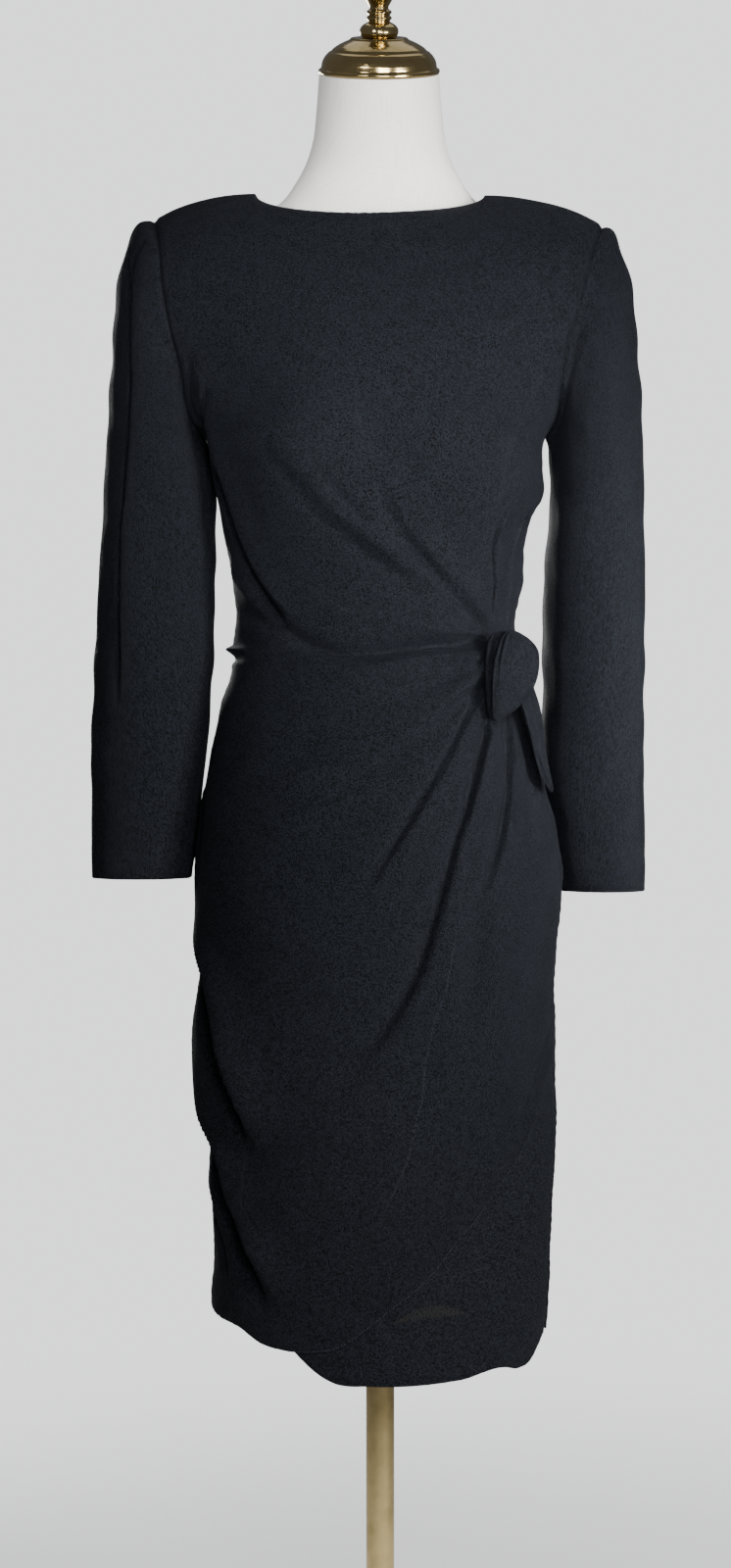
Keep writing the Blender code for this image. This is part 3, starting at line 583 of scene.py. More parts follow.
crepe = {
    "dark": (0.0005, 0.0006, 0.001, 1),
    "light": (0.0102, 0.0118, 0.016, 1),
    "roughness": 0.72,
    "specular": 0.07,
    "sheen": 0.012,
    "sheenRoughness": 0.45,
    "sheenTint": (0.62, 0.7, 0.86, 1),
    "grain": 620,
    "pebble": 1150,
    "yarns": 1500,
    "cloud": 9,
    "tone": {"grain": 0.6, "pebble": 1.1, "cloud": 0.15, "less": 0.05},
    "rise": {"grain": 0.8, "pebble": 0.3, "yarns": 0.08},
    "bump": 1.0,
    "bumpDistance": 0.0008,
    # colour of the painted highlights along lines on the crepe
    "wearAndHighlight": (0.034, 0.038, 0.046, 1),
    "highlightWidth": 0.0011,
    "highlightFull": 0.3,  # share of that width
    "highlightEnds": 0.12,  # share of the line's length
    "specks": (0.4, 0.62),
    "stretch": (1.15, 0.9, 1.0),
    "pebbleStretch": (1.0, 0.9, 1.0),
}


def crepeFinish(name, patch=None, highlightLines=()):
    # Pebbly crepe: two sizes of grain and fine crossed yarns, in the cloth's own map. The marks that
    # it is given hold (distance, share of the way along) from a line: along each, a painted highlight in
    # specks
    made = Finish(name)
    uv = made.coordinates("UV")
    place = made.coordinates()
    grain = made.noise(made.stretched(uv, crepe["stretch"]), crepe["grain"], 1)
    pebble = made.cells(made.stretched(uv, crepe["pebbleStretch"]), crepe["pebble"])
    cloud = made.noise(place, crepe["cloud"], 2)
    x, y, _ = made.split(uv)
    yarns = (x * (2 * math.pi * crepe["yarns"])).sine() * (y * (2 * math.pi * crepe["yarns"])).sine()
    parts = crepe["tone"]
    tone = (grain - 0.5) * parts["grain"] + pebble * parts["pebble"]
    tone = tone + (cloud - 0.5) * parts["cloud"] - parts["less"]
    colour = made.mix(tone, crepe["dark"], crepe["light"])
    for mark, strength in highlightLines:
        beside, share, _ = made.split(made.node("ShaderNodeAttribute", {"attribute_name": mark}, output=1))
        line = beside.size().ease(crepe["highlightWidth"], crepe["highlightWidth"] * crepe["highlightFull"])
        line = line * share.ease(0, crepe["highlightEnds"]) * share.ease(1, 1 - crepe["highlightEnds"])
        # painted highlight: the line's paler colour, in specks
        colour = made.mix(line * grain.ease(*crepe["specks"]) * strength, colour, crepe["wearAndHighlight"])
    if patch:  # a worn place where paler backing shows through: a lens above a tilted line
        px, _, pz = made.split(place)
        across = (px - patch["x"]) / patch["half"]
        lens = 1 - across * across
        above = pz - (patch["z"] + patch["tilt"] * across)
        inside = (above - lens * patch["low"]).ease(-patch["soft"], patch["soft"])
        inside = inside * (lens * patch["high"] - above).ease(-patch["soft"], patch["soft"])
        colour = made.mix(inside * grain.ease(*patch["specks"]), colour, patch["colour"])
    rise = crepe["rise"]
    height = grain * rise["grain"] + pebble * rise["pebble"] + yarns * rise["yarns"]
    made.surface(
        Base_Color=colour,
        Roughness=crepe["roughness"],
        Specular_IOR_Level=crepe["specular"],
        Sheen_Weight=crepe["sheen"],
        Sheen_Roughness=crepe["sheenRoughness"],
        Sheen_Tint=crepe["sheenTint"],
        Normal=made.bump(height, crepe["bump"], crepe["bumpDistance"]),
    )
    return made.material


linen = {
    "pale": (0.9, 0.885, 0.84, 1),
    "dark": (0.7, 0.675, 0.605, 1),
    "threads": 620,
    "wander": 5,
    "wanderScale": 60,
    "slubs": (30, 900),
    "slubRise": 0.9,
    "threadRise": 0.12,
    "cloud": 14,
    "roughness": 0.9,
    "specular": 0.3,
    "tone": {"middle": 0.9, "threads": 1.6, "cloud": 0.25, "more": 0.62},
    "bump": 0.35,
    "bumpDistance": 0.0004,
}


def linenFinish(name):
    # Two sets of threads that swell and thin along their run, with slubs and a faint cloudiness
    made = Finish(name)
    uv = made.coordinates("UV")
    place = made.coordinates()
    x, y, _ = made.split(uv)
    wander = made.noise(uv, linen["wanderScale"], 2) - 0.5
    coarse, fine = linen["slubs"]
    acrossSlub = made.noise(made.stretched(uv, (coarse, fine, 1)), 1, 3, 0.6)
    alongSlub = made.noise(made.stretched(uv, (fine, coarse, 1)), 1, 3, 0.6)
    turn = 2 * math.pi * linen["threads"]
    weft = (y * turn + wander * linen["wander"]).sine() * 0.5 + 0.5
    warp = (x * turn + wander * linen["wander"]).sine() * 0.5 + 0.5
    threads = acrossSlub * linen["slubRise"] + alongSlub * linen["slubRise"]
    threads = threads + weft * linen["threadRise"] + warp * linen["threadRise"]
    cloud = made.noise(place, linen["cloud"], 3)
    parts = linen["tone"]
    tone = (threads - parts["middle"]) * parts["threads"] + (cloud - 0.5) * parts["cloud"] + parts["more"]
    made.surface(
        Base_Color=made.mix(tone.ease(0, 1), linen["dark"], linen["pale"]),
        Roughness=linen["roughness"],
        Specular_IOR_Level=linen["specular"],
        Normal=made.bump(threads, linen["bump"], linen["bumpDistance"]),
    )
    return made.material


brass = {
    "colour": (0.56, 0.43, 0.2, 1),
    "wearAndHighlight": (0.4, 0.3, 0.13, 1),
    "roughness": 0.08,
    "haze": 38,
    "hazeRoughness": 0.1,
    "lathe": (4, 4, 2600),
    "latheRoughness": 0.03,
    "wornFrom": (0.35, 0.75),
    "bump": 0.03,
    "bumpDistance": 0.0002,
}


def brassFinish(name):
    # Polished, with faint lathe lines and a little haze
    made = Finish(name)
    place = made.coordinates()
    haze = made.noise(place, brass["haze"], 4, 0.6)
    lines = made.noise(made.stretched(place, brass["lathe"]), 1, 2)
    made.surface(
        Base_Color=made.mix(haze.ease(*brass["wornFrom"]), brass["colour"], brass["wearAndHighlight"]),
        Metallic=1.0,
        Roughness=haze * brass["hazeRoughness"] + lines * brass["latheRoughness"] + brass["roughness"],
        Normal=made.bump(lines, brass["bump"], brass["bumpDistance"]),
    )
    return made.material


patch = {
    "x": 0.0433,
    "half": 0.032,
    "z": 0.4185,
    "tilt": 0.0023,
    "low": 0.0018,
    "high": 0.012,
    "soft": 0.0012,
    "specks": (0.36, 0.56),
    "colour": (0.0135, 0.0134, 0.0128, 1),
}

crepeCloth = crepeFinish("crepe")
# painted highlights along the wrap's hem edge, its left side seam and its crease, and along the under
# panel's seam edge
crepeWrap = crepeFinish("crepe_wrap", highlightLines=(("hemEdge", 0.55), ("seamEdge", 1.0), ("crease", 0.3)))
crepeWornAndHighlit = crepeFinish("crepe_worn_and_highlit", patch, highlightLines=(("seamEdge", 0.8),))
linenCloth = linenFinish("linen")
polishedBrass = brassFinish("polished_brass")


def settle(piece, node, material):
    piece.data.materials.append(material)
    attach(piece, "root")
    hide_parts(node)


print("materials made")


# Folds on the dress: lines of (u, z), from where a fold starts outwards

waistFolds = folds(
    ([(-600, 9860), (-780, 9880), (-950, 9890), (-1250, 9900)], 66, 32, 26, 0.45, 0.55, 1.2),
    ([(-620, 9790), (-780, 9800), (-980, 9810), (-1200, 9810)], -36, 24, 36, 0.4, 0.6, 1.2),
    # the broad valley across the waist, between two lips
    ([(550, 9945), (399, 9915), (194, 9875), (70, 9848), (-51, 9825), (-175, 9828), (-265, 9870),
      (-382, 9960), (-466, 10050)], -68, 46, 62, 0.04, 0.8, 1.3),
    ([(528, 9825), (399, 9760), (194, 9712), (21, 9680), (-151, 9680), (-280, 9712)],
      14, 40, 80, 0.05, 0.7, 1.2),
    # the cloth swells towards the knot
    ([(520, 10060), (490, 9850), (480, 9600), (490, 9300)], 60, 120, 200, 0.4, 0.6, 1),
)

bodiceFolds = folds(
    # the strongest, from the knot up over the bust: the cloth on its left lies higher
    ([(600, 10100), (445, 10300), (300, 10530), (210, 10740), (130, 10930), (68, 11130), (20, 11360),
      (-20, 11650)], 34, 24, 120, 0.04, 0.3, 1.9),
    ([(590, 10010), (430, 10210), (285, 10430), (195, 10630), (115, 10810), (50, 11000), (0, 11220),
      (-35, 11500)], -46, 70, 26, 0.04, 0.26, 2.1),
    ([(540, 9980), (400, 10130), (270, 10300), (150, 10500), (60, 10740), (0, 10950), (-50, 11200),
      (-90, 11600), (-125, 12000)], 30, 110, 100, 0.05, 0.45, 1.6),
    ([(30, 11350), (0, 11600), (-30, 11860), (-60, 12100)], -24, 80, 130, 0.3, 0.5, 1.2),
    # a fine one beside it, over the left bust
    ([(400, 10830), (300, 11060), (215, 11280), (150, 11500), (85, 11720), (40, 11950)],
      12, 24, 140, 0.25, 0.5, 1.2),
    # long, low ones to the right armpit, and a short sharp crease between them
    ([(560, 10010), (357, 10220), (165, 10410), (10, 10610), (-115, 10790), (-224, 10980), (-324, 11240),
      (-434, 11520), (-500, 11750)], -40, 56, 64, 0.46, 0.6, 1.6),
    ([(560, 10070), (365, 10320), (175, 10520), (25, 10720), (-98, 10910), (-205, 11110), (-300, 11380),
      (-400, 11680)], 38, 100, 44, 0.4, 0.6, 1.6),
    ([(-20, 10890), (-93, 11040), (-162, 11190), (-215, 11360)], -30, 18, 36, 0.35, 0.5, 1.2),
    # deep one along the right side, from the waist to the armpit: the front lies over the side
    ([(-370, 10100), (-430, 10220), (-490, 10330), (-585, 10550), (-645, 10760), (-692, 11000),
      (-738, 11300), (-795, 11580), (-815, 11800), (-820, 12000)], 44, 18, 150, 0.24, 0.8, 1.1),
    ([(-400, 10040), (-470, 10160), (-545, 10300), (-640, 10530), (-700, 10740), (-745, 10980),
      (-790, 11280), (-845, 11560), (-868, 11780), (-874, 11960)], -115, 110, 24, 0.2, 0.88, 1),
    ([(-430, 9940), (-603, 10120), (-760, 10200), (-900, 10300)], -34, 50, 60, 0.3, 0.6, 1.2),
    ([(-640, 10300), (-780, 10460), (-920, 10660)], 24, 60, 70, 0.3, 0.6, 1.2),
    # the pouch at the right armpit
    ([(-930, 12450), (-955, 12220), (-960, 11960), (-905, 11830), (-850, 11900)],
      -30, 34, 40, 0.25, 0.6, 1.1),
    ([(-860, 12350), (-880, 12120), (-880, 11960)], 24, 80, 60, 0.3, 0.6, 1.1),
    ([(-845, 12150), (-850, 11980), (-835, 11800), (-820, 11680)], -30, 30, 22, 0.25, 0.6, 1.1),
    # over the waist
    ([(555, 9990), (411, 10000), (281, 10030), (137, 10060), (-25, 10110), (-200, 10200)],
      22, 26, 70, 0.06, 0.55, 1.5),
    ([(-50, 10150), (-135, 10210), (-215, 10290)], -16, 18, 30, 0.3, 0.5, 1.3),
    ([(480, 10080), (280, 10170), (80, 10270), (-120, 10400), (-300, 10520)], 14, 50, 60, 0.15, 0.5, 1.5),
    # left side, over the knot
    ([(610, 10120), (602, 10340), (588, 10620), (590, 10870), (622, 11080), (720, 11270)],
      -50, 26, 14, 0.2, 0.6, 1.3),
    ([(760, 10120), (742, 10420), (733, 10710), (785, 10930), (850, 11060)], -46, 26, 14, 0.2, 0.6, 1.3),
    ([(980, 10400), (880, 10620), (860, 10840)], 26, 70, 70, 0.3, 0.6, 1.2),
    ([(940, 11120), (1000, 11360), (1060, 11680)], 46, 150, 150, 0.3, 0.7, 1),
    ([(560, 11000), (585, 11370), (610, 11680), (640, 11900)], -22, 60, 70, 0.3, 0.6, 1.2),
    # from the armholes
    ([(-880, 12620), (-720, 12250), (-560, 12050)], -14, 90, 100, 0.3, 0.4, 1.6),
    ([(930, 12250), (820, 12050), (700, 12000)], -22, 70, 80),
    # similar ones on the back
    ([(-1180, 10300), (-1380, 10200), (-1620, 10140), (-1860, 10120)], -58, 50, 70),
    ([(-1150, 10520), (-1360, 10440), (-1600, 10360)], 48, 80, 70),
    ([(1150, 10240), (1360, 10140), (1600, 10080), (1840, 10100)], -61, 60, 50),
    ([(1130, 10500), (1330, 10380), (1560, 10300)], 48, 70, 80),
    ([(1060, 11200), (1250, 10980), (1480, 10880)], -45, 60, 80, 0.3, 0.5, 1.5),
    ([(-1060, 11280), (-1240, 11000), (-1450, 10860)], -48, 60, 80, 0.3, 0.5, 1.5),
    ([(-1120, 12900), (-1300, 12400), (-1480, 11800), (-1600, 11200)], -32, 100, 110, 0.3, 0.5, 1.5),
    ([(1120, 12850), (1290, 12350), (1440, 11900)], -29, 100, 110, 0.3, 0.5, 1.5),
)
bodiceFolds += gathers((0.59, 0.99), (98, 176), 9, 0.034)

skirtFolds = folds(
    # pleats that fan down from the knot: each one's edge lies over what is on its right side
    ([(500, 9500), (458, 9400), (385, 9210), (280, 8870), (180, 8560), (107, 8320), (35, 8050),
      (-45, 7730)], 22, 130, 10, 0.05, 0.82, 1.1),
    ([(500, 9550), (450, 9450), (370, 9250), (265, 8920), (165, 8610), (90, 8360), (18, 8090),
      (-62, 7770)], -31, 10, 14, 0.05, 0.78, 3.4),
    ([(525, 9340), (497, 9170), (418, 8810), (358, 8530), (313, 8350), (277, 8150), (240, 7860),
      (202, 7530), (160, 7160), (110, 6870), (45, 6580), (-15, 6400), (-95, 6150)],
      38, 180, 11, 0.04, 0.72, 3),
    ([(515, 9390), (482, 9200), (402, 8830), (342, 8560), (259, 8180), (221, 7890), (182, 7560),
      (139, 7190), (87, 6890), (19, 6600), (-56, 6370), (-150, 6100)], -48, 11, 18, 0.05, 0.78, 6.4),
    ([(655, 9460), (647, 9290), (607, 8950), (555, 8640), (498, 8370), (445, 8110), (387, 7850),
      (340, 7650)], 30, 130, 10, 0.05, 0.65, 1.4),
    ([(643, 9460), (631, 9290), (590, 8960), (538, 8660), (480, 8390), (426, 8130), (368, 7870),
      (320, 7670)], -42, 10, 16, 0.05, 0.65, 3.2),
    ([(570, 9300), (560, 9150), (575, 8950), (524, 8710), (460, 8480)], -22, 30, 40, 0.2, 0.5, 1.4),
    ([(345, 7750), (340, 7400), (338, 7000), (325, 6600), (300, 6150)], -52, 90, 100, 0.2, 0.5, 1.5),
    ([(760, 9350), (745, 8950), (715, 8550), (670, 8180)], -22, 40, 50, 0.1, 0.5, 1.8),
    ([(820, 9250), (812, 8800), (785, 8350), (745, 7900)], 24, 70, 60, 0.1, 0.5, 1.8),
    # swags towards the right hip
    ([(500, 9700), (430, 9620), (305, 9430), (165, 9210), (28, 9050), (-103, 8940), (-237, 8860),
      (-380, 8800)], 40, 30, 100, 0.05, 0.45, 1.6),
    ([(490, 9580), (380, 9420), (230, 9160), (73, 8960), (-73, 8830), (-175, 8760), (-300, 8720)],
      -40, 90, 36, 0.05, 0.45, 1.6),
    ([(505, 9760), (360, 9660), (235, 9570), (40, 9500), (-170, 9460), (-330, 9480)],
      -24, 40, 60, 0.05, 0.45, 1.6),
    ([(480, 9820), (280, 9680), (60, 9600), (-160, 9580)], 18, 50, 50, 0.1, 0.45, 1.5),
    # hollow under the knot
    ([(560, 9450), (520, 9300), (510, 9160)], -50, 34, 28, 0.3, 0.75, 1),
    # beside the right sleeve's hand
    ([(-1020, 9000), (-940, 8680), (-880, 8360), (-850, 8000)], -36, 50, 40, 0.3, 0.6, 1.2),
    # cowls that hang from the right side seam, their front edges over the side
    ([(-1060, 7520), (-900, 7350), (-790, 7120), (-665, 6760), (-588, 6430), (-535, 6120), (-510, 5830),
      (-498, 5560)], 105, 210, 14, 0.3, 0.76, 1.1),
    ([(-1010, 7360), (-880, 7100), (-785, 6840), (-690, 6530), (-612, 6220), (-572, 5930), (-550, 5640)],
      -190, 18, 110, 0.14, 0.8, 0.9),
    ([(-1060, 6140), (-900, 5940), (-780, 5660), (-690, 5370), (-625, 5070), (-558, 4800), (-468, 4490),
      (-390, 4260)], 90, 190, 14, 0.3, 0.72, 1.1),
    ([(-1040, 5880), (-910, 5660), (-790, 5380), (-717, 5070), (-633, 4800), (-532, 4490), (-451, 4260)],
      -165, 18, 105, 0.14, 0.78, 0.9),
    ([(-1060, 5300), (-880, 5120), (-785, 4920), (-725, 4770), (-668, 4560), (-628, 4390)],
      26, 70, 14, 0.35, 0.6, 1.3),
    ([(-1040, 5120), (-870, 4940), (-808, 4770), (-740, 4560), (-690, 4390)], -46, 16, 60, 0.3, 0.62, 1.3),
    # long soft folds down to the hem
    ([(250, 7400), (205, 6800), (160, 6200), (120, 5600)], -12, 50, 80, 0.3, 0.5, 1.6),
    ([(830, 8000), (790, 7300), (750, 6600), (730, 5900)], 22, 120, 120, 0.3, 0.6, 1.4),
    ([(940, 8000), (930, 7200), (915, 6400)], -20, 80, 80, 0.3, 0.6, 1.4),
    # the back: drawn in below the waist, and hanging in soft folds
    ([(-1120, 9500), (-1350, 9380), (-1620, 9320), (-1860, 9360)], -51, 60, 80),
    ([(1120, 9440), (1360, 9320), (1620, 9300), (1850, 9380)], -54, 80, 60),
    ([(-1150, 7350), (-1300, 6900), (-1450, 6200), (-1540, 5400)], -69, 70, 110, 0.3, 0.5, 1.5),
    ([(-1130, 7600), (-1290, 7120), (-1430, 6500), (-1530, 5700)], 45, 110, 70, 0.3, 0.5, 1.5),
    ([(1180, 7600), (1280, 6900), (1360, 6100), (1400, 5300)], -57, 90, 70, 0.3, 0.5, 1.5),
    ([(-1620, 7000), (-1680, 6000), (-1700, 5000), (-1690, 4000)], 60, 120, 140, 0.4, 0.8, 1.4),
    ([(1560, 6900), (1630, 5900), (1660, 4900), (1640, 3900)], 60, 120, 140, 0.4, 0.8, 1.4),
    ([(-1300, 5200), (-1340, 4600), (-1330, 4000)], -45, 90, 100, 0.4, 0.8, 1.3),
    ([(1260, 5000), (1290, 4400), (1280, 3800)], -45, 90, 100, 0.4, 0.8, 1.3),
)
skirtFolds += gathers((0.585, 0.962), (184, 262), 10, 0.044)

dressRipples = {"seed": 5, "count": 14, "lengths": (0.035, 0.11), "height": 0.00055}
calmFrom = 1.88  # the folds die out from there to the centre back


def clothHeight(s, z):
    # s runs round the body as u does, on past the side seams to 2 and -2 at the centre back
    calm = 1 - easing(np.abs(s), calmFrom, 2)
    height = relief(s, z, waistFolds + bodiceFolds + skirtFolds, reachOfU)
    return (height + ripples(s, z, dressRipples, reachOfU)) * calm


def roundS(u, side, end):  # the place round the body, from a panel's u
    return u if side == front else end * 2 - u


def nudge(points, edge, axis, direction, where=True):  # half a seam's gap
    points[edge + (axis,)] += np.where(where, direction * cloth["seamGap"] / 2, 0)


def sideSeams(points, u, side, rows=whole):  # those at the body's sides, then those at the back's middle
    for column, end in ((0, -1), (-1, 1)):
        if abs(u[column]) == 1:
            nudge(points, (rows, column), 1, side)
        else:
            nudge(points, (whole, column), 0, -end)


grids = {
    "columns": 266,
    "columnCrowds": ((0.45, 0.35, 1.0), (-0.75, 0.15, 0.8)),
    "bodiceCrowds": ((0.986, 0.012, 1.0),),
    "bodiceRows": 100,
    "yokeRows": 74,
    "backColumns": 68,
    "skirtColumns": 248,
    "skirtCrowds": ((0.36, 0.3, 1.5), (-0.78, 0.14, 1.2)),
    "skirtRows": 192,
    "rowCrowds": ((0.18, 0.22, 0.6), (0.0, 0.03, 2.0)),
    "underColumns": 112,
    "underRows": 130,
    "backRows": 146,
    "sleeveRings": 150,
    "snap": 0.03,  # a column this near the neckline's corner moves to it
}
shoulder = {"calmZ": (1.3, 1.37), "calm": 0.75}


def bodicePanel(side, columns, end):
    for corner in (body["neckRightU"], body["neckLeftU"]):
        nearest = np.abs(columns - corner).argmin()
        if abs(columns[nearest] - corner) < grids["snap"]:
            columns[nearest] = corner
    rows = places(grids["bodiceRows"], body["waistZ"], body["armpitZ"], grids["bodiceCrowds"])
    z, u = grid(pastEnd(rows), columns)
    lower = bodySurface(u, z, side)
    w, u = grid(places(grids["yokeRows"], 0, 1), columns)
    points = np.concatenate((lower, yokeSurface(u, w, side)[1:]))
    u = u[0]
    normals = outwardNormals(points)[1:]
    normals *= np.sign(normals[len(rows) // 2, len(u) // 2, 1] * side)
    points = points[1:]
    s = np.broadcast_to(roundS(u, side, end), points.shape[:2])
    height = clothHeight(s, points[..., 2])
    onNeck = (u > body["neckRightU"] + 1e-6) & (u < body["neckLeftU"] - 1e-6)
    edges = {"high": onNeck.astype(float), "first": 0, "last": 0}
    nudge(points, (0, whole), 2, 1)
    nudge(points, (-1, whole), 1, side, ~onNeck)
    sideSeams(points, u, side, slice(0, grids["bodiceRows"] + 1))
    height *= 1 - shoulder["calm"] * easing(points[..., 2], *shoulder["calmZ"])
    height += edgeFinish(points, edges)
    points += normals * height[..., None]
    return points, normals, edges


panels = {
    "bodice_front": bodicePanel(front, places(grids["columns"], -1, 1, grids["columnCrowds"]), 0),
    "bodice_back_right": bodicePanel(back, places(grids["backColumns"], -1, 0), -1),
    "bodice_back_left": bodicePanel(back, places(grids["backColumns"], 0, 1), 1),
}
print("bodice worked out")


# Sleeves

sleeves = {
    "head": 0.45,
    "gap": 0.0001,
    "mitreLimit": 0.6,
    "names": ("t", "outX", "outZ", "inX", "inZ", "y", "depth"),
    "right": metres(
        (2135, 13645, 1528, 11735, 0, 660), (2245, 13435, 1495, 11655, 0, 670),
        (2310, 13200, 1475, 11520, 0, 670), (2355, 12850, 1452, 11370, 0, 660),
        (2385, 12350, 1444, 11200, 0, 640), (2415, 11850, 1448, 11000, 0, 620),
        (2460, 11150, 1460, 10650, 10, 580), (2500, 10450, 1476, 10200, 20, 540),
        (2540, 9800, 1490, 9700, 40, 500), (2573, 9050, 1540, 9050, 60, 450),
        (2572, 8500, 1605, 8500, 80, 410), (2567, 7876, 1680, 7876, 100, 370),
    ),
    "left": metres(
        (2050, 13590, 1490, 11710, 0, 650), (2123, 13435, 1500, 11620, 0, 660),
        (2200, 13226, 1508, 11510, 10, 660), (2255, 12900, 1515, 11380, 20, 650),
        (2300, 12400, 1510, 11200, 40, 630), (2328, 11900, 1495, 11000, 60, 610),
        (2350, 11200, 1465, 10650, 90, 580), (2362, 10450, 1453, 10200, 130, 540),
        (2366, 9800, 1455, 9700, 180, 500), (2368, 9050, 1452, 9050, 260, 450),
        (2378, 8680, 1456, 8680, 300, 430), (2384, 8400, 1518, 8400, 330, 410),
        (2390, 7745, 1615, 7745, 360, 370),
    ),
    "crowds": {"right": ((1.02, 0.16, 2.6),), "left": ()},
    "reach": 0.05,  # metres of cloth for each radian round the sleeve
    "ripples": {"seed": 8, "count": 12, "lengths": (0.03, 0.1), "height": 0.0006},
    "puckers": 17,
    "puckerHeight": 0.0011,
    "puckerRun": 0.02,
    "puckerFrom": 0.005,
    "puckerDrift": 1.2,
    "rippleRun": 0.03,
    "headTurn": (-0.1, 0.5),
}

# Lines of (turn, z): a turn of 0 radians faces out, pi / 2 the front, pi the body, 3 pi / 2 the back
pressedEdge = (
    (860, 13460), (900, 13250), (950, 13030), (980, 12850), (1050, 12520), (1090, 12100), (1100, 11700),
    (1070, 11220), (1040, 10750), (1080, 10080), (1120, 9500),
)
sleeveFolds = {
    "right": folds(
        # a pressed edge down the sleeve's front, forked at the head
        (pressedEdge, 36, 170, 12, 0.12, 0.85, 1),
        ([(turn - 50, z) for turn, z in pressedEdge], -80, 14, 34, 0.12, 0.85, 1),
        ([(440, 13440), (580, 13240), (760, 13060), (900, 12900)], -36, 22, 18, 0.3, 0.8, 1),
        # the dark hollow beside the armpit
        ([(2740, 12050), (2760, 11800), (2800, 11500), (2860, 11100), (2950, 10700)],
          -210, 150, 120, 0.2, 0.6, 1),
        ([(2600, 11050), (2250, 10960), (1950, 10800)], -20, 60, 70),
        ([(2300, 11200), (2050, 11080), (1850, 10860)], 16, 60, 70),
        ([(3600, 10600), (4200, 10450), (4800, 10400), (5300, 10500)], -34, 60, 80, 0.3, 0.6, 1.2),
        ([(3500, 10200), (4100, 10000), (4700, 9960)], 30, 80, 80, 0.3, 0.6, 1.2),
        ([(3800, 11900), (4300, 11600), (4800, 11500)], -26, 70, 90, 0.3, 0.6, 1.2),
        ([(5300, 13300), (5250, 12600), (5200, 11800), (5220, 10900)], 26, 120, 60, 0.15, 0.6, 1.3),
        ([(2300, 9600), (1800, 9400), (1300, 9450)], -12, 80, 90),
    ),
    "left": folds(
        ([(1200, 13350), (1260, 12900), (1320, 12400), (1340, 11800)], 12, 120, 120, 0.15, 0.5, 1.5),
        ([(2300, 12000), (2100, 11750), (1950, 11400)], -20, 80, 80),
        ([(2700, 11300), (2300, 11160), (1950, 10950)], -16, 60, 70),
        ([(3600, 10700), (4200, 10520), (4800, 10480), (5300, 10600)], -34, 70, 70, 0.3, 0.6, 1.2),
        ([(3500, 10300), (4100, 10120), (4700, 10060)], 30, 80, 80, 0.3, 0.6, 1.2),
        ([(3800, 11850), (4300, 11600), (4800, 11500)], -24, 80, 80, 0.3, 0.6, 1.2),
        ([(5250, 13200), (5200, 12500), (5180, 11700)], 20, 120, 80, 0.15, 0.6, 1.3),
        ([(2400, 9500), (1900, 9250), (1400, 9300)], -12, 80, 90),
    ),
}


def sleeveTube(name, end):
    # Rings between an outer and an inner point each. The first follows the armhole, and what sets
    # it apart from an oval dies out down the sleeve's head. Returns the wall that it makes
    column = 0 if end < 0 else -1
    above = slice(grids["bodiceRows"], None)
    fore, foreNormals = (part[above, column] for part in panels["bodice_front"][:2])
    aft, aftNormals = (part[above, column] for part in panels[f"bodice_back_{name}"][:2])
    first = np.concatenate((fore[::-1], aft[1:-1]))
    bodyNormals = np.concatenate((foreNormals[::-1], aftNormals[1:-1]))
    fromTip = places(len(fore) - 1, 0, math.pi, sleeves["crowds"][name])
    angle = np.concatenate((fromTip, np.linspace(math.pi, 2 * math.pi, len(aft))[1:-1]))
    tip = first[0]
    armpit = first[len(fore) - 1]
    top = (abs(tip[0]), tip[2], abs(armpit[0]), armpit[2], 0, first[:, 1].max())
    rows = np.vstack((top, sleeves[name]))
    table = {"names": sleeves["names"], "rows": np.column_stack((np.linspace(0, 1, len(rows)), rows))}
    t = np.linspace(0, 1, grids["sleeveRings"] + 1)[:, None]
    value = {column: along(t, table, column) for column in sleeves["names"][1:]}
    outer = (1 + np.cos(angle)) / 2
    x = value["inX"] + (value["outX"] - value["inX"]) * outer
    z = value["inZ"] + (value["outZ"] - value["inZ"]) * outer
    y = value["y"] - value["depth"] * np.sin(angle)
    points = np.stack((end * x, y + 0 * x, z), axis=-1)
    points += (first - points[0]) * (1 - easing(t, 0, sleeves["head"]))[..., None]
    normals = outwardNormals(points, around=True)
    normals *= np.sign(normals[-1, 0, 0] * end)

    run = edgeRun(points, 0, False)
    turn = np.broadcast_to(angle, points.shape[:2])
    height = relief(turn, points[..., 2], sleeveFolds[name], sleeves["reach"])
    rippled = ripples(np.sin(turn) * 2, points[..., 2], sleeves["ripples"], sleeves["reach"])
    height += rippled * easing(run, 0, sleeves["rippleRun"])
    onHead = easing(np.cos(turn), *sleeves["headTurn"])
    swell = np.exp(-((run / sleeves["puckerRun"]) ** 2)) * easing(run, 0, sleeves["puckerFrom"])
    wave = np.sin(sleeves["puckers"] * turn + sleeves["puckerDrift"] * np.sin(3 * turn + end))
    height += sleeves["puckerHeight"] * wave * swell * onHead
    edges = {"low": 0, "high": 1}
    height += edgeFinish(points, edges)
    mitre = unit(bodyNormals + normals[0])
    mitre /= np.clip((mitre * bodyNormals).sum(axis=-1, keepdims=True), sleeves["mitreLimit"], 1)
    away = points[1] - first
    away -= mitre * ((away * mitre).sum(axis=-1) / (mitre**2).sum(axis=-1))[:, None]
    height[0] = 0
    points = points + normals * height[..., None]
    points[0] += unit(away) * sleeves["gap"]
    normals[0] = mitre
    count = len(fore)
    foreNormals[:] = mitre[:count][::-1]
    aftNormals[1:-1] = mitre[count:]
    aftNormals[0] = mitre[count - 1]
    aftNormals[-1] = mitre[0]
    return clothWall(f"sleeve_{name}_cloth", points, normals, edges, around=True)


for name, end in (("right", -1), ("left", 1)):
    piece = sleeveTube(name, end)
    settle(piece, f"sleeve_{name}", crepeCloth)
print("sleeves made")

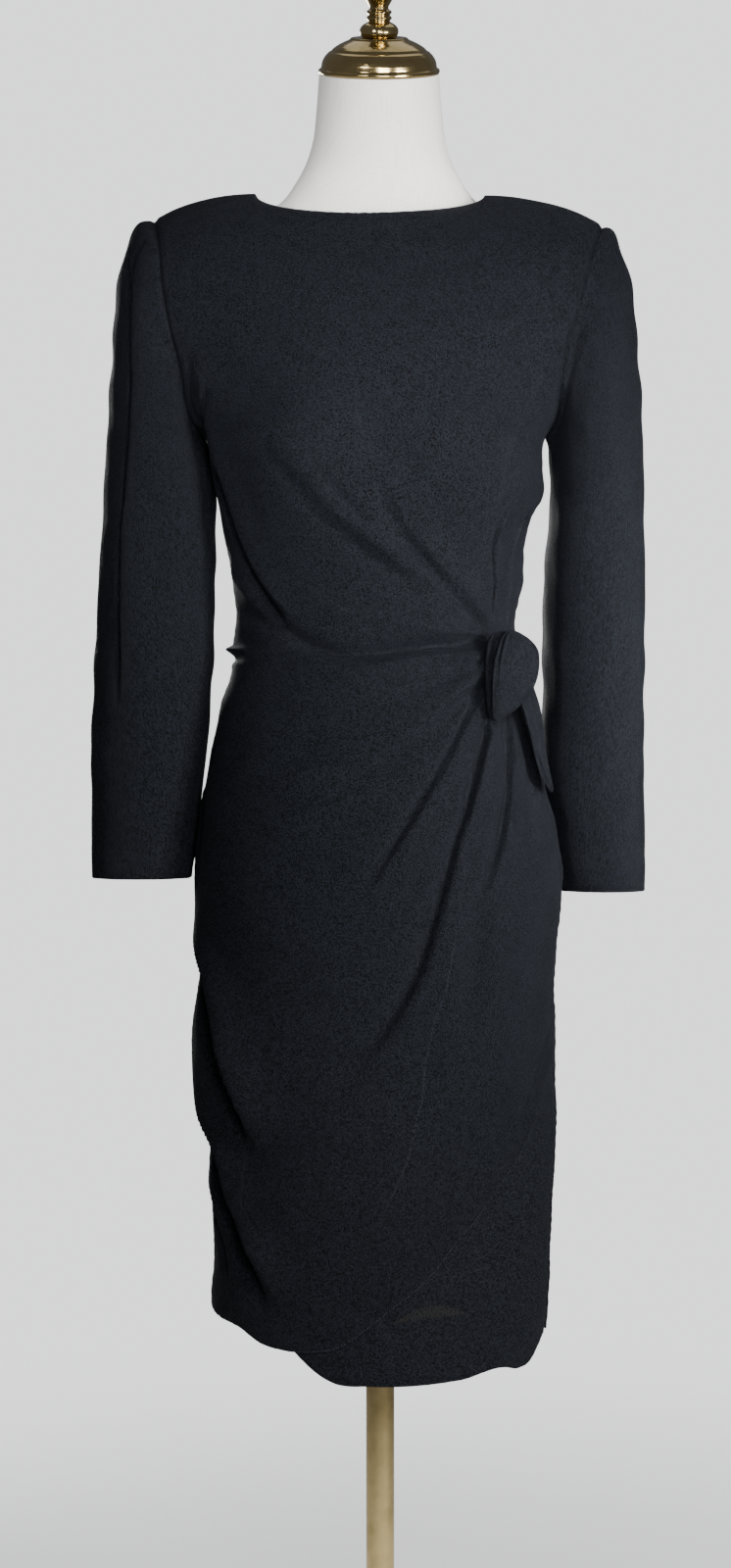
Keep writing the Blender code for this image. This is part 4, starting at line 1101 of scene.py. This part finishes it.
bodiceCuts = {
    "bodice_front": ((0.44, 0.42), 0.150),
    "bodice_back_right": ((0.22, 0.42), 0.075),
    "bodice_back_left": ((0.22, 0.42), 0.075),
}
for node, (points, normals, edges) in panels.items():
    piece = clothWall(f"{node}_cloth", points, normals, edges)
    settle(piece, node, crepeCloth)
    flat, area = bodiceCuts[node]
print("bodice made")


# Skirt

hems = {
    "wrap": {
        "names": ("x", "z"),
        "rows": metres(
            (-1550, 4100), (-1474, 4080), (-1270, 4035), (-1077, 3935), (-900, 3905), (-743, 3900),
            (-570, 3915), (-396, 3955), (-244, 4040), (-64, 4180), (114, 4335), (293, 4475), (421, 4600),
            (524, 4725), (626, 4860), (755, 4995), (887, 5150), (1044, 5365), (1209, 5640), (1321, 5880),
            (1440, 6250), (1550, 6480),
        ),
    },
    "under": {
        "names": ("x", "z"),
        "rows": metres(
            (-1490, 6200), (-1350, 5200), (-1100, 4400), (-735, 3855), (-550, 3700), (-455, 3655),
            (-100, 3630), (430, 3635), (626, 3645), (755, 3655), (887, 3687), (1015, 3712), (1102, 3708),
            (1269, 3660), (1360, 3685), (1420, 3770), (1490, 3870),
        ),
    },
    "back": {
        "names": ("x", "z"),
        "rows": metres(
            (-1500, 4100), (-600, 3930), (400, 3810), (1100, 3770), (1500, 3875),
        ),
    },
    "layerGap": 0.0011,
    "underDepth": 0.0024,
    "underSideDepth": 0.0018,
    "underEase": 0.1,
    "underShows": 0.03,
    "lift": 0.0026,
    "liftRun": 0.016,
    "liftFrom": (-0.5, 0.1),
    "liftUntil": (0.06, 0.25),
    "liftWaves": ((0.5, 9, 0.6), (0.25, 23, 0)),  # height, turns for each step of u, start
    "sideEase": 0.8,
}
# Lines of painted highlight, as the folds' lines: the left side seam, and a crease down the front
highlightLines = {
    "seamEdge": lineOf(
        (790, 9050), (835, 8800), (905, 8450), (930, 8000), (925, 7300), (915, 6600), (905, 6000),
        (915, 5600), (930, 5200), (925, 4400), (920, 3800),
    ),
    "crease": lineOf(
        (285, 7750), (251, 7270), (237, 6990), (207, 6740), (189, 6520), (171, 6270), (157, 6060),
        (124, 5850), (48, 5340), (-39, 4870),
    ),
}


def skirtBase(side, rows, columns, hem):
    v, u = grid(pastEnd(rows), columns)
    bottom = along(hem["rows"][-1][0] * np.sin(u * math.pi / 2), hem, "z")
    points = bodySurface(u, body["waistZ"] + v * (bottom - body["waistZ"]), side)
    normals = outwardNormals(points)
    normals *= np.sign(normals[len(rows) // 2, len(columns) // 2, 1] * side)
    return points[1:], normals[1:], u[1:]


def skirtSeams(points, u, side):
    nudge(points, (0, whole), 2, -1)
    sideSeams(points, u[0], side)


# distance from each line and share along it, for the painted highlights
def highlightMarks(u, z):
    marks = {}
    spots = np.stack((u * reachOfU, z), axis=-1).reshape(-1, 2)
    for name, line in highlightLines.items():
        beside, share = besideLine(spots, line * (reachOfU, 1))
        marks[name] = np.stack((beside, share, 0 * share), axis=-1).reshape(*u.shape, 3)
    return marks


seamed = {"high": 1, "first": 0, "last": 0}

rows = places(grids["skirtRows"], 0, 1, grids["rowCrowds"])
columns = places(grids["skirtColumns"], -1, 1, grids["skirtCrowds"])
points, normals, u = skirtBase(front, rows, columns, hems["wrap"])
height = clothHeight(u, points[..., 2])
skirtSeams(points, u, front)
toHem = edgeRun(points, 0, True)
wavy = 1 + sum(size * np.sin(turns * u + start) for size, turns, start in hems["liftWaves"])
lift = hems["lift"] * wavy * np.exp(-((toHem / hems["liftRun"]) ** 2))
height += lift * easing(u, *hems["liftFrom"]) * easing(1 - u, *hems["liftUntil"])
height += edgeFinish(points, seamed)
points += normals * height[..., None]
marks = highlightMarks(u, points[..., 2])
# distance to the hem, for the painted highlight along the hem edge
marks["hemEdge"] = np.stack((toHem, (u + 1) / 2, 0 * u), axis=-1)
piece = clothWall("skirt_wrap_cloth", points, normals, seamed, marks=marks)
settle(piece, "skirt_wrap", crepeWrap)

rows = places(grids["underRows"], 0, 1, grids["rowCrowds"][1:])
points, normals, u = skirtBase(front, rows, places(grids["underColumns"], -1, 1), hems["under"])
overHem = points[..., 2] - along(points[..., 0], hems["wrap"], "z")
covered = easing(overHem, 0, hems["underEase"])
inset = cloth["thickness"] + hems["layerGap"] + hems["underSideDepth"] * covered
inset = inset + hems["underDepth"] * covered * (1 - easing(np.abs(u), hems["sideEase"], 1))
height = np.minimum(clothHeight(u, points[..., 2]), 0) * easing(overHem, 0, hems["underShows"])
height += ripples(u, points[..., 2], dressRipples, reachOfU) * (1 - covered)
skirtSeams(points, u, front)
height += edgeFinish(points, seamed)
points += normals * (height - inset)[..., None]
piece = clothWall("skirt_under_cloth", points, normals, seamed, marks=highlightMarks(u, points[..., 2]))
settle(piece, "skirt_under", crepeWornAndHighlit)

for name, low, high, end in (("right", -1, 0, -1), ("left", 0, 1, 1)):
    rows = places(grids["backRows"], 0, 1, grids["rowCrowds"][1:])
    points, normals, u = skirtBase(back, rows, places(grids["backColumns"], low, high), hems["back"])
    height = clothHeight(roundS(u, back, end), points[..., 2])
    skirtSeams(points, u, back)
    height += edgeFinish(points, seamed)
    points += normals * height[..., None]
    piece = clothWall(f"skirt_back_{name}_cloth", points, normals, seamed)
    settle(piece, f"skirt_back_{name}", crepeCloth)
print("skirt made")


# The tie: petals of doubled cloth, flat tubes whose sections lie between two edges

tieNames = ("z", "right", "left", "rightY", "leftY")
tie = {
    "rows": 72,
    "sides": 96,
    "squareness": 0.6,
    "closing": 0.35,
    "leaf": {
        "names": tieNames,
        "rows": metres(
            (9255, 978, 992, -845, -840), (9268, 962, 1020, -852, -835), (9320, 953, 1115, -866, -805),
            (9400, 951, 1208, -880, -780), (9480, 952, 1280, -890, -758), (9580, 955, 1332, -897, -742),
            (9680, 960, 1358, -901, -732), (9780, 974, 1364, -901, -726), (9860, 996, 1352, -896, -734),
            (9920, 1016, 1312, -888, -752), (9975, 1044, 1246, -872, -775),
            (10015, 1082, 1172, -852, -800), (10030, 1110, 1135, -842, -825),
        ),
        "thickness": 0.0034,
        "bulge": 0.0046,
    },
    "knot": {
        "names": tieNames,
        "rows": metres(
            (9262, 938, 990, -760, -770), (9320, 920, 1060, -790, -760), (9420, 908, 1110, -808, -750),
            (9540, 900, 1125, -818, -746), (9700, 898, 1130, -824, -746), (9840, 904, 1130, -822, -746),
            (9930, 922, 1120, -812, -750), (9990, 958, 1105, -795, -755), (10020, 1000, 1080, -772, -762),
        ),
        "thickness": 0.0048,
        "bulge": 0.0024,
    },
    "loop": {
        "names": tieNames,
        "rows": metres(
            (9330, 950, 1010, -755, -735), (9380, 928, 1050, -778, -730), (9470, 908, 1080, -795, -725),
            (9600, 896, 1095, -806, -725), (9740, 892, 1100, -811, -725), (9860, 900, 1095, -806, -730),
            (9950, 924, 1080, -788, -735), (10000, 955, 1050, -760, -740),
        ),
        "thickness": 0.0056,
        "bulge": 0.002,
    },
    "tail": {
        "names": tieNames,
        "rows": metres(
            (8636, 1488, 1496, -440, -430), (8660, 1466, 1504, -470, -420), (8728, 1422, 1497, -510, -405),
            (8830, 1376, 1476, -545, -400), (8965, 1332, 1448, -575, -410), (9100, 1302, 1430, -600, -425),
            (9250, 1266, 1412, -630, -450), (9400, 1222, 1380, -660, -485), (9560, 1180, 1325, -670, -525),
        ),
        "thickness": 0.003,
        "bulge": 0.0024,
    },
}

# Creases on the pieces: lines of (share across, z)
tieFolds = {
    "leaf": folds(
        ([(100, 10020), (85, 9920), (85, 9800), (100, 9660), (110, 9520)], -20, 11, 14, 0.1, 0.45, 1),
        ([(300, 10000), (220, 9880), (190, 9720), (200, 9560)], -9, 18, 16, 0.1, 0.45, 1),
        ([(150, 10000), (135, 9860), (140, 9680)], 10, 18, 18, 0.2, 0.4, 1.2),
        ([(620, 9990), (570, 9900), (570, 9780), (550, 9660)], -11, 14, 18, 0.2, 0.5, 1.3),
        ([(720, 9920), (740, 9800), (780, 9680), (800, 9580)], -10, 16, 22, 0.2, 0.5, 1.2),
        ([(900, 9900), (930, 9750), (930, 9600)], -14, 30, 22, 0.2, 0.6, 1),
        ([(50, 9900), (45, 9700), (50, 9450)], -6, 8, 10, 0.2, 0.7, 1),
    ),
    "knot": folds(
        ([(260, 9990), (200, 9800), (220, 9550), (280, 9320)], -22, 12, 12, 0.15, 0.8, 1),
        ([(440, 9990), (380, 9800), (420, 9550)], -14, 12, 12, 0.15, 0.7, 1),
    ),
    "loop": folds(
        ([(300, 9950), (220, 9700), (280, 9450)], -14, 12, 14, 0.2, 0.7, 1),
    ),
    "tail": folds(
        ([(400, 9550), (420, 9200), (500, 8900)], -12, 18, 22, 0.1, 0.6, 1.2),
        ([(0, 9020), (100, 8880), (260, 8750), (500, 8660)], -60, 30, 40, 0.3, 0.8, 1.2),
    ),
}


def ringGrid(points):  # vertices, map, faces and their corners on the map, of rings that close
    vertex = closed(np.arange(points[..., 0].size).reshape(points.shape[:2]))
    flat = lengths(closed(points))
    return vertex, flat, *squares(vertex, flat)


def tiePiece(name):
    # A closed tube: round its section the angle goes 0 to 360 deg, its cosine runs between the
    # two edges and its sine, drawn square, gives the two faces. The ends close to a line
    settings = tie[name]
    heights = settings["rows"][:, 0]
    v = (1 - np.cos(np.linspace(0, math.pi, tie["rows"] + 1))) / 2
    z = (heights[0] + v * (heights[-1] - heights[0]))[:, None]
    angle = np.arange(tie["sides"]) * 2 * math.pi / tie["sides"]
    share = (1 - np.cos(angle)) / 2
    face = np.sign(np.sin(angle)) * np.abs(np.sin(angle)) ** tie["squareness"]
    right, left, rightY, leftY = (along(z, settings, column) for column in tieNames[1:])
    x = right + (left - right) * share
    across = np.broadcast_to(share, x.shape)
    width = (left - right).max()
    crease = relief(across, z + 0 * x, tieFolds[name], width) * (face > 0)
    closing = np.sin(math.pi * v[:, None]) ** tie["closing"]
    swell = settings["bulge"] * np.sin(math.pi * share) * closing
    faces = settings["thickness"] / 2 * face * closing
    y = rightY + (leftY - rightY) * share - swell - faces - crease
    points = np.stack((x, y, z + 0 * x), axis=-1)
    vertex, flat, quads, maps = ringGrid(points)
    # caps: each end's ring, folded shut across its middle
    half = tie["sides"] // 2
    for row, turn in ((0, 1), (tie["rows"], -1)):
        upper = vertex[row, :half + 1]
        lower = vertex[row, -1:half - 1:-1]
        cap = np.stack((upper[:-1], lower[:-1], lower[1:], upper[1:]), axis=-1)[:, ::turn]
        quads = np.concatenate((quads, cap))
        maps = np.concatenate((maps, np.repeat(flat[[row], :half, None], 4, axis=2)[0]))
    return quadMesh(f"tie_{name}_cloth", points.reshape(-1, 3), quads, maps)


tieCuts = {
    "leaf": ((0.040, 0.080), 0.0026),
    "knot": ((0.022, 0.076), 0.0014),
    "loop": ((0.022, 0.070), 0.0012),
    "tail": ((0.024, 0.102), 0.0018),
}
for name, (flat, area) in tieCuts.items():
    piece = tiePiece(name)
    settle(piece, f"tie_{name}", crepeCloth)
print("tie made")


# The form

form = {
    "x": -0.001,
    "sides": 144,
    "rings": 150,
    "names": ("z", "half", "front", "back", "middleY", "slant"),  # the slant is in ten-thousandths
    "rows": metres(
        (7350, 1240, 800, 900, 0, 0), (7420, 1330, 880, 980, 0, 0), (7600, 1400, 940, 1040, 0, 0),
        (8000, 1430, 960, 1080, 0, 0), (8500, 1370, 940, 1050, 0, 0), (9000, 1270, 880, 960, 0, 0),
        (9450, 1180, 800, 840, 0, 0), (9860, 1110, 750, 740, 0, 0), (10300, 1110, 770, 720, 0, 0),
        (10750, 1160, 860, 760, 0, 0), (11200, 1240, 950, 820, 0, 0), (11600, 1310, 985, 860, 0, 0),
        (12000, 1380, 970, 880, 0, 0), (12400, 1450, 910, 890, 0, 0), (12800, 1510, 810, 860, 0, 0),
        (13150, 1510, 690, 780, 0, 0), (13380, 1420, 600, 700, 0, 0), (13560, 1260, 530, 580, 0, 0),
        (13720, 1050, 480, 500, 0, 0), (13860, 865, 455, 460, 0, 300), (14000, 760, 470, 530, 0, 700),
        (14157, 667, 500, 520, -20, 1200), (14380, 590, 520, 520, -40, 2000),
        (14660, 555, 525, 525, -80, 3000), (14975, 530, 530, 530, -120, 4000),
    ),
    "seamDepth": 0.0007,
    "seamWidth": 0.0016,
    "seamZ": 1.392,
    "seamTilt": 0.014,
    "seamRadius": 0.06,
    "capRings": 8,
    "capFrom": 0.97,
}


def torso():
    # Ovals at each height, tilted towards the neck's top; both ends closed by shrinking rings
    z = np.linspace(form["rows"][0, 0], form["rows"][-1, 0], form["rings"] + 1)
    caps = np.linspace(form["capFrom"], 0, form["capRings"])
    scale = np.concatenate((caps[::-1], np.ones(len(z)), caps))[:, None]
    z = np.concatenate((0 * caps + z[0], z, 0 * caps + z[-1]))[:, None]
    angle = np.arange(form["sides"]) * 2 * math.pi / form["sides"]
    forward = -np.cos(angle)
    depth = np.where(forward < 0, along(z, form, "front"), along(z, form, "back"))
    neckSeam = form["seamZ"] + form["seamTilt"] * np.cos(angle)
    tilt = along(z, form, "slant")
    middle = along(z, form, "middleY")
    y = depth * forward
    x = along(z, form, "half") * np.sin(angle)
    level = z + tilt * y
    groove = form["seamDepth"] * np.exp(-(((level - neckSeam) / form["seamWidth"]) ** 2))
    shrink = scale * (1 - groove / form["seamRadius"])
    x = form["x"] + x * shrink
    z = z + tilt * y * scale
    points = np.stack((x, middle + y * shrink, z), axis=-1)
    return tubeMesh("form_torso_linen", points)


def tubeMesh(name, points):  # a closed tube of rings, mapped by its own lengths
    quads, maps = ringGrid(points)[2:]
    piece = quadMesh(name, points.reshape(-1, 3), quads, maps)
    tidy(piece)
    return piece


def tidy(piece):  # merges the doubled points at the poles and turns the faces outwards
    shape = bmesh.new()
    shape.from_mesh(piece.data)
    bmesh.ops.remove_doubles(shape, verts=shape.verts, dist=1e-6)
    bmesh.ops.recalc_face_normals(shape, faces=shape.faces)
    shape.to_mesh(piece.data)
    shape.free()


settle(torso(), "form_torso", linenCloth)

topZ, topY, topSlant = form["rows"][-1, [0, 4, 5]]
capTurn = math.atan(topSlant)
turned = {
    "sides": 80,
    "gap": 0.0003,
    "inset": 0.0004,
    "insetShare": 0.25,
    "neck_cap": metres(
        (0, 0), (520, 0), (532, 4), (537, 14), (537, 26), (531, 36), (518, 42), (512, 50), (510, 64),
        (505, 92), (494, 120), (474, 150), (448, 176), (436, 184), (424, 188), (416, 198), (402, 212),
        (378, 228), (344, 248), (300, 268), (262, 284), (250, 297), (246, 300), (0, 300),
    ),
    "finial": metres(
        (0, 0), (148, 0), (162, 16), (170, 34), (172, 52), (168, 72), (156, 92), (138, 108), (112, 122),
        (98, 130), (95, 136), (100, 144), (110, 152), (113, 162), (108, 172), (98, 180), (95, 186),
        (100, 194), (110, 202), (113, 212), (106, 222), (90, 232), (82, 242), (84, 256), (96, 278),
        (112, 304), (134, 336), (151, 370), (162, 406), (166, 440), (164, 474), (155, 512), (140, 548),
        (118, 582), (90, 610), (58, 630), (24, 640), (0, 641),
    ),
    "socket": metres(
        (0, 7000), (200, 7000), (214, 7006), (220, 7022), (220, 7232), (226, 7244), (240, 7250),
        (420, 7284), (444, 7292), (450, 7302), (450, 7346), (0, 7347),
    ),
    "pole": metres(
        (0, 183), (125, 183), (125, 6997), (0, 6997),
    ),
    "base": metres(
        (0, 0), (1478, 0), (1492, 6), (1500, 18), (1501, 58), (1494, 72), (1462, 89), (1380, 97),
        (900, 121), (320, 135), (260, 142), (224, 158), (214, 174), (204, 180), (0, 180),
    ),
}


def turnedPiece(name, lift=None):
    # A profile of (radius, height) turned about Z, and for the cap and finial tilted on the neck
    angle = np.arange(turned["sides"]) * 2 * math.pi / turned["sides"]
    rows = curveSteps(turned[name])
    radius = rows[:, [0]]
    height = rows[:, [1]]
    x = radius * np.cos(angle)
    y = radius * np.sin(angle)
    z = height + 0 * radius * angle
    if lift is not None:
        across = y
        up = z + lift
        x = x + form["x"]
        y = across * math.cos(capTurn) - up * math.sin(capTurn) + topY
        z = across * math.sin(capTurn) + up * math.cos(capTurn) + topZ
    piece = tubeMesh(f"form_{name}_metal", np.stack((x, y, z), axis=-1))
    settle(piece, f"form_{name}", polishedBrass)


def curveSteps(rows):  # doubles the rows near corners, so that the shading keeps flat ends flat
    away = np.diff(rows, axis=0)
    length = np.linalg.norm(away, axis=1, keepdims=True)
    inset = np.minimum(turned["inset"], length * turned["insetShare"])
    before = rows[1:] - unit(away) * inset
    after = rows[:-1] + unit(away) * inset
    steps = np.stack((rows[:-1], after, before), axis=1).reshape(-1, 2)
    return np.concatenate((steps, rows[-1:]))


turnedPiece("neck_cap", turned["gap"])
turnedPiece("finial", turned["neck_cap"][-1, 1] + 2 * turned["gap"])
for name in ("socket", "pole", "base"):
    turnedPiece(name)
print("form made")


# Floor, light and camera

studio = {
    "backdrop": (1.68, 1.69, 1.72, 1),
    "ambient": (0.12, 0.122, 0.13, 1),
    "floor": (0.84, 0.85, 0.86, 1),
    "floorHalf": 3.4,
    "floorDrop": 0.0002,
    "floorRoughness": 0.9,
    "floorSpecular": 0.1,
    "fadeFrom": 0.2,
    "fadeTo": 1.5,
}


def floorPiece():  # fades into the backdrop away from the base
    half = studio["floorHalf"]
    low = -studio["floorDrop"]
    corners = np.array(((-half, -half, low), (half, -half, low), (half, half, low), (-half, half, low)))
    piece = quadMesh("floor", corners, np.array(((0, 1, 2, 3),)))
    made = Finish("floor")
    x, y, _ = made.split(made.coordinates())
    fade = ((x * x + y * y) ** 0.5).ease(studio["fadeFrom"], studio["fadeTo"])
    made.surface(
        Base_Color=studio["floor"],
        Roughness=studio["floorRoughness"],
        Specular_IOR_Level=studio["floorSpecular"],
        Alpha=1 - fade,
    )
    piece.data.materials.append(made.material)


floorPiece()

world = bpy.data.worlds.new("studio")
bpy.context.scene.world = world
world.use_nodes = True
nodes = world.node_tree.nodes
links = world.node_tree.links
ambient = nodes["Background"]
ambient.inputs["Color"].default_value = studio["ambient"]
backdrop = nodes.new("ShaderNodeBackground")
backdrop.inputs["Color"].default_value = studio["backdrop"]
seen = nodes.new("ShaderNodeLightPath")
blend = nodes.new("ShaderNodeMixShader")
links.new(seen.outputs["Is Camera Ray"], blend.inputs[0])
links.new(ambient.outputs[0], blend.inputs[1])
links.new(backdrop.outputs[0], blend.inputs[2])
links.new(blend.outputs[0], nodes["World Output"].inputs["Surface"])


def areaLight(name, place, aim, size, power, colour=(1, 1, 1), spread=math.pi):
    data = bpy.data.lights.new(name, "AREA")
    data.shape = "RECTANGLE"
    data.size, data.size_y = size
    data.energy = power
    data.color = colour
    data.spread = spread
    light = bpy.data.objects.new(name, data)
    bpy.context.scene.collection.objects.link(light)
    light.location = place
    light.visible_camera = False
    x, y, z = (a - b for a, b in zip(aim, place))
    light.rotation_euler = (math.atan2(math.hypot(x, y), -z), 0, math.atan2(x, -y) + math.pi)


areaLight("key", (1.1, -1.15, 1.08), (0.05, 0, 1.04), (0.5, 0.6), 38, (1.0, 0.99, 0.97))
areaLight("front", (0.24, -1.5, 1.1), (0, 0, 1.08), (0.5, 0.5), 22)
areaLight("bust", (0.02, -1.35, 1.3), (-0.01, -0.1, 1.18), (0.3, 0.3), 0.5, (1, 1, 1), 0.4)
areaLight("sleeve", (1.3, -1.0, 1.0), (0.25, 0, 0.96), (0.3, 0.5), 1.5, (1, 1, 1), 0.35)
areaLight("neck", (-0.75, -1.5, 1.66), (-0.02, 0, 1.38), (0.4, 0.3), 0.45, (1, 1, 1), 0.6)
areaLight("top", (0.1, 0.4, 3.0), (0, 0, 1.2), (1.6, 1.2), 4)
areaLight("back", (-0.8, 2.3, 1.5), (0, 0, 0.95), (1.0, 1.2), 60)

cameraSettings = {
    "distance": 2.01,
    "height": 0.905,
    "focalPixels": 2310,
    "pixelsWide": 746,
    "pixelsHigh": 1600,
    "axisPixel": 388,
    "horizonPixel": 760,
    "sensor": 24.0,
    "clipStart": 0.05,
}
high = cameraSettings["pixelsHigh"]
cameraData = bpy.data.cameras.new("camera")
cameraData.sensor_fit = "VERTICAL"
cameraData.sensor_height = cameraSettings["sensor"]
cameraData.lens = cameraSettings["focalPixels"] / high * cameraSettings["sensor"]
cameraData.shift_x = (cameraSettings["pixelsWide"] / 2 - cameraSettings["axisPixel"]) / high
cameraData.shift_y = (cameraSettings["horizonPixel"] - high / 2) / high
cameraData.clip_start = cameraSettings["clipStart"]
camera = bpy.data.objects.new("camera", cameraData)
bpy.context.scene.collection.objects.link(camera)
camera.location = (0, -cameraSettings["distance"], cameraSettings["height"])
camera.rotation_euler = (math.pi / 2, 0, 0)
bpy.context.scene.camera = camera
print("studio made")
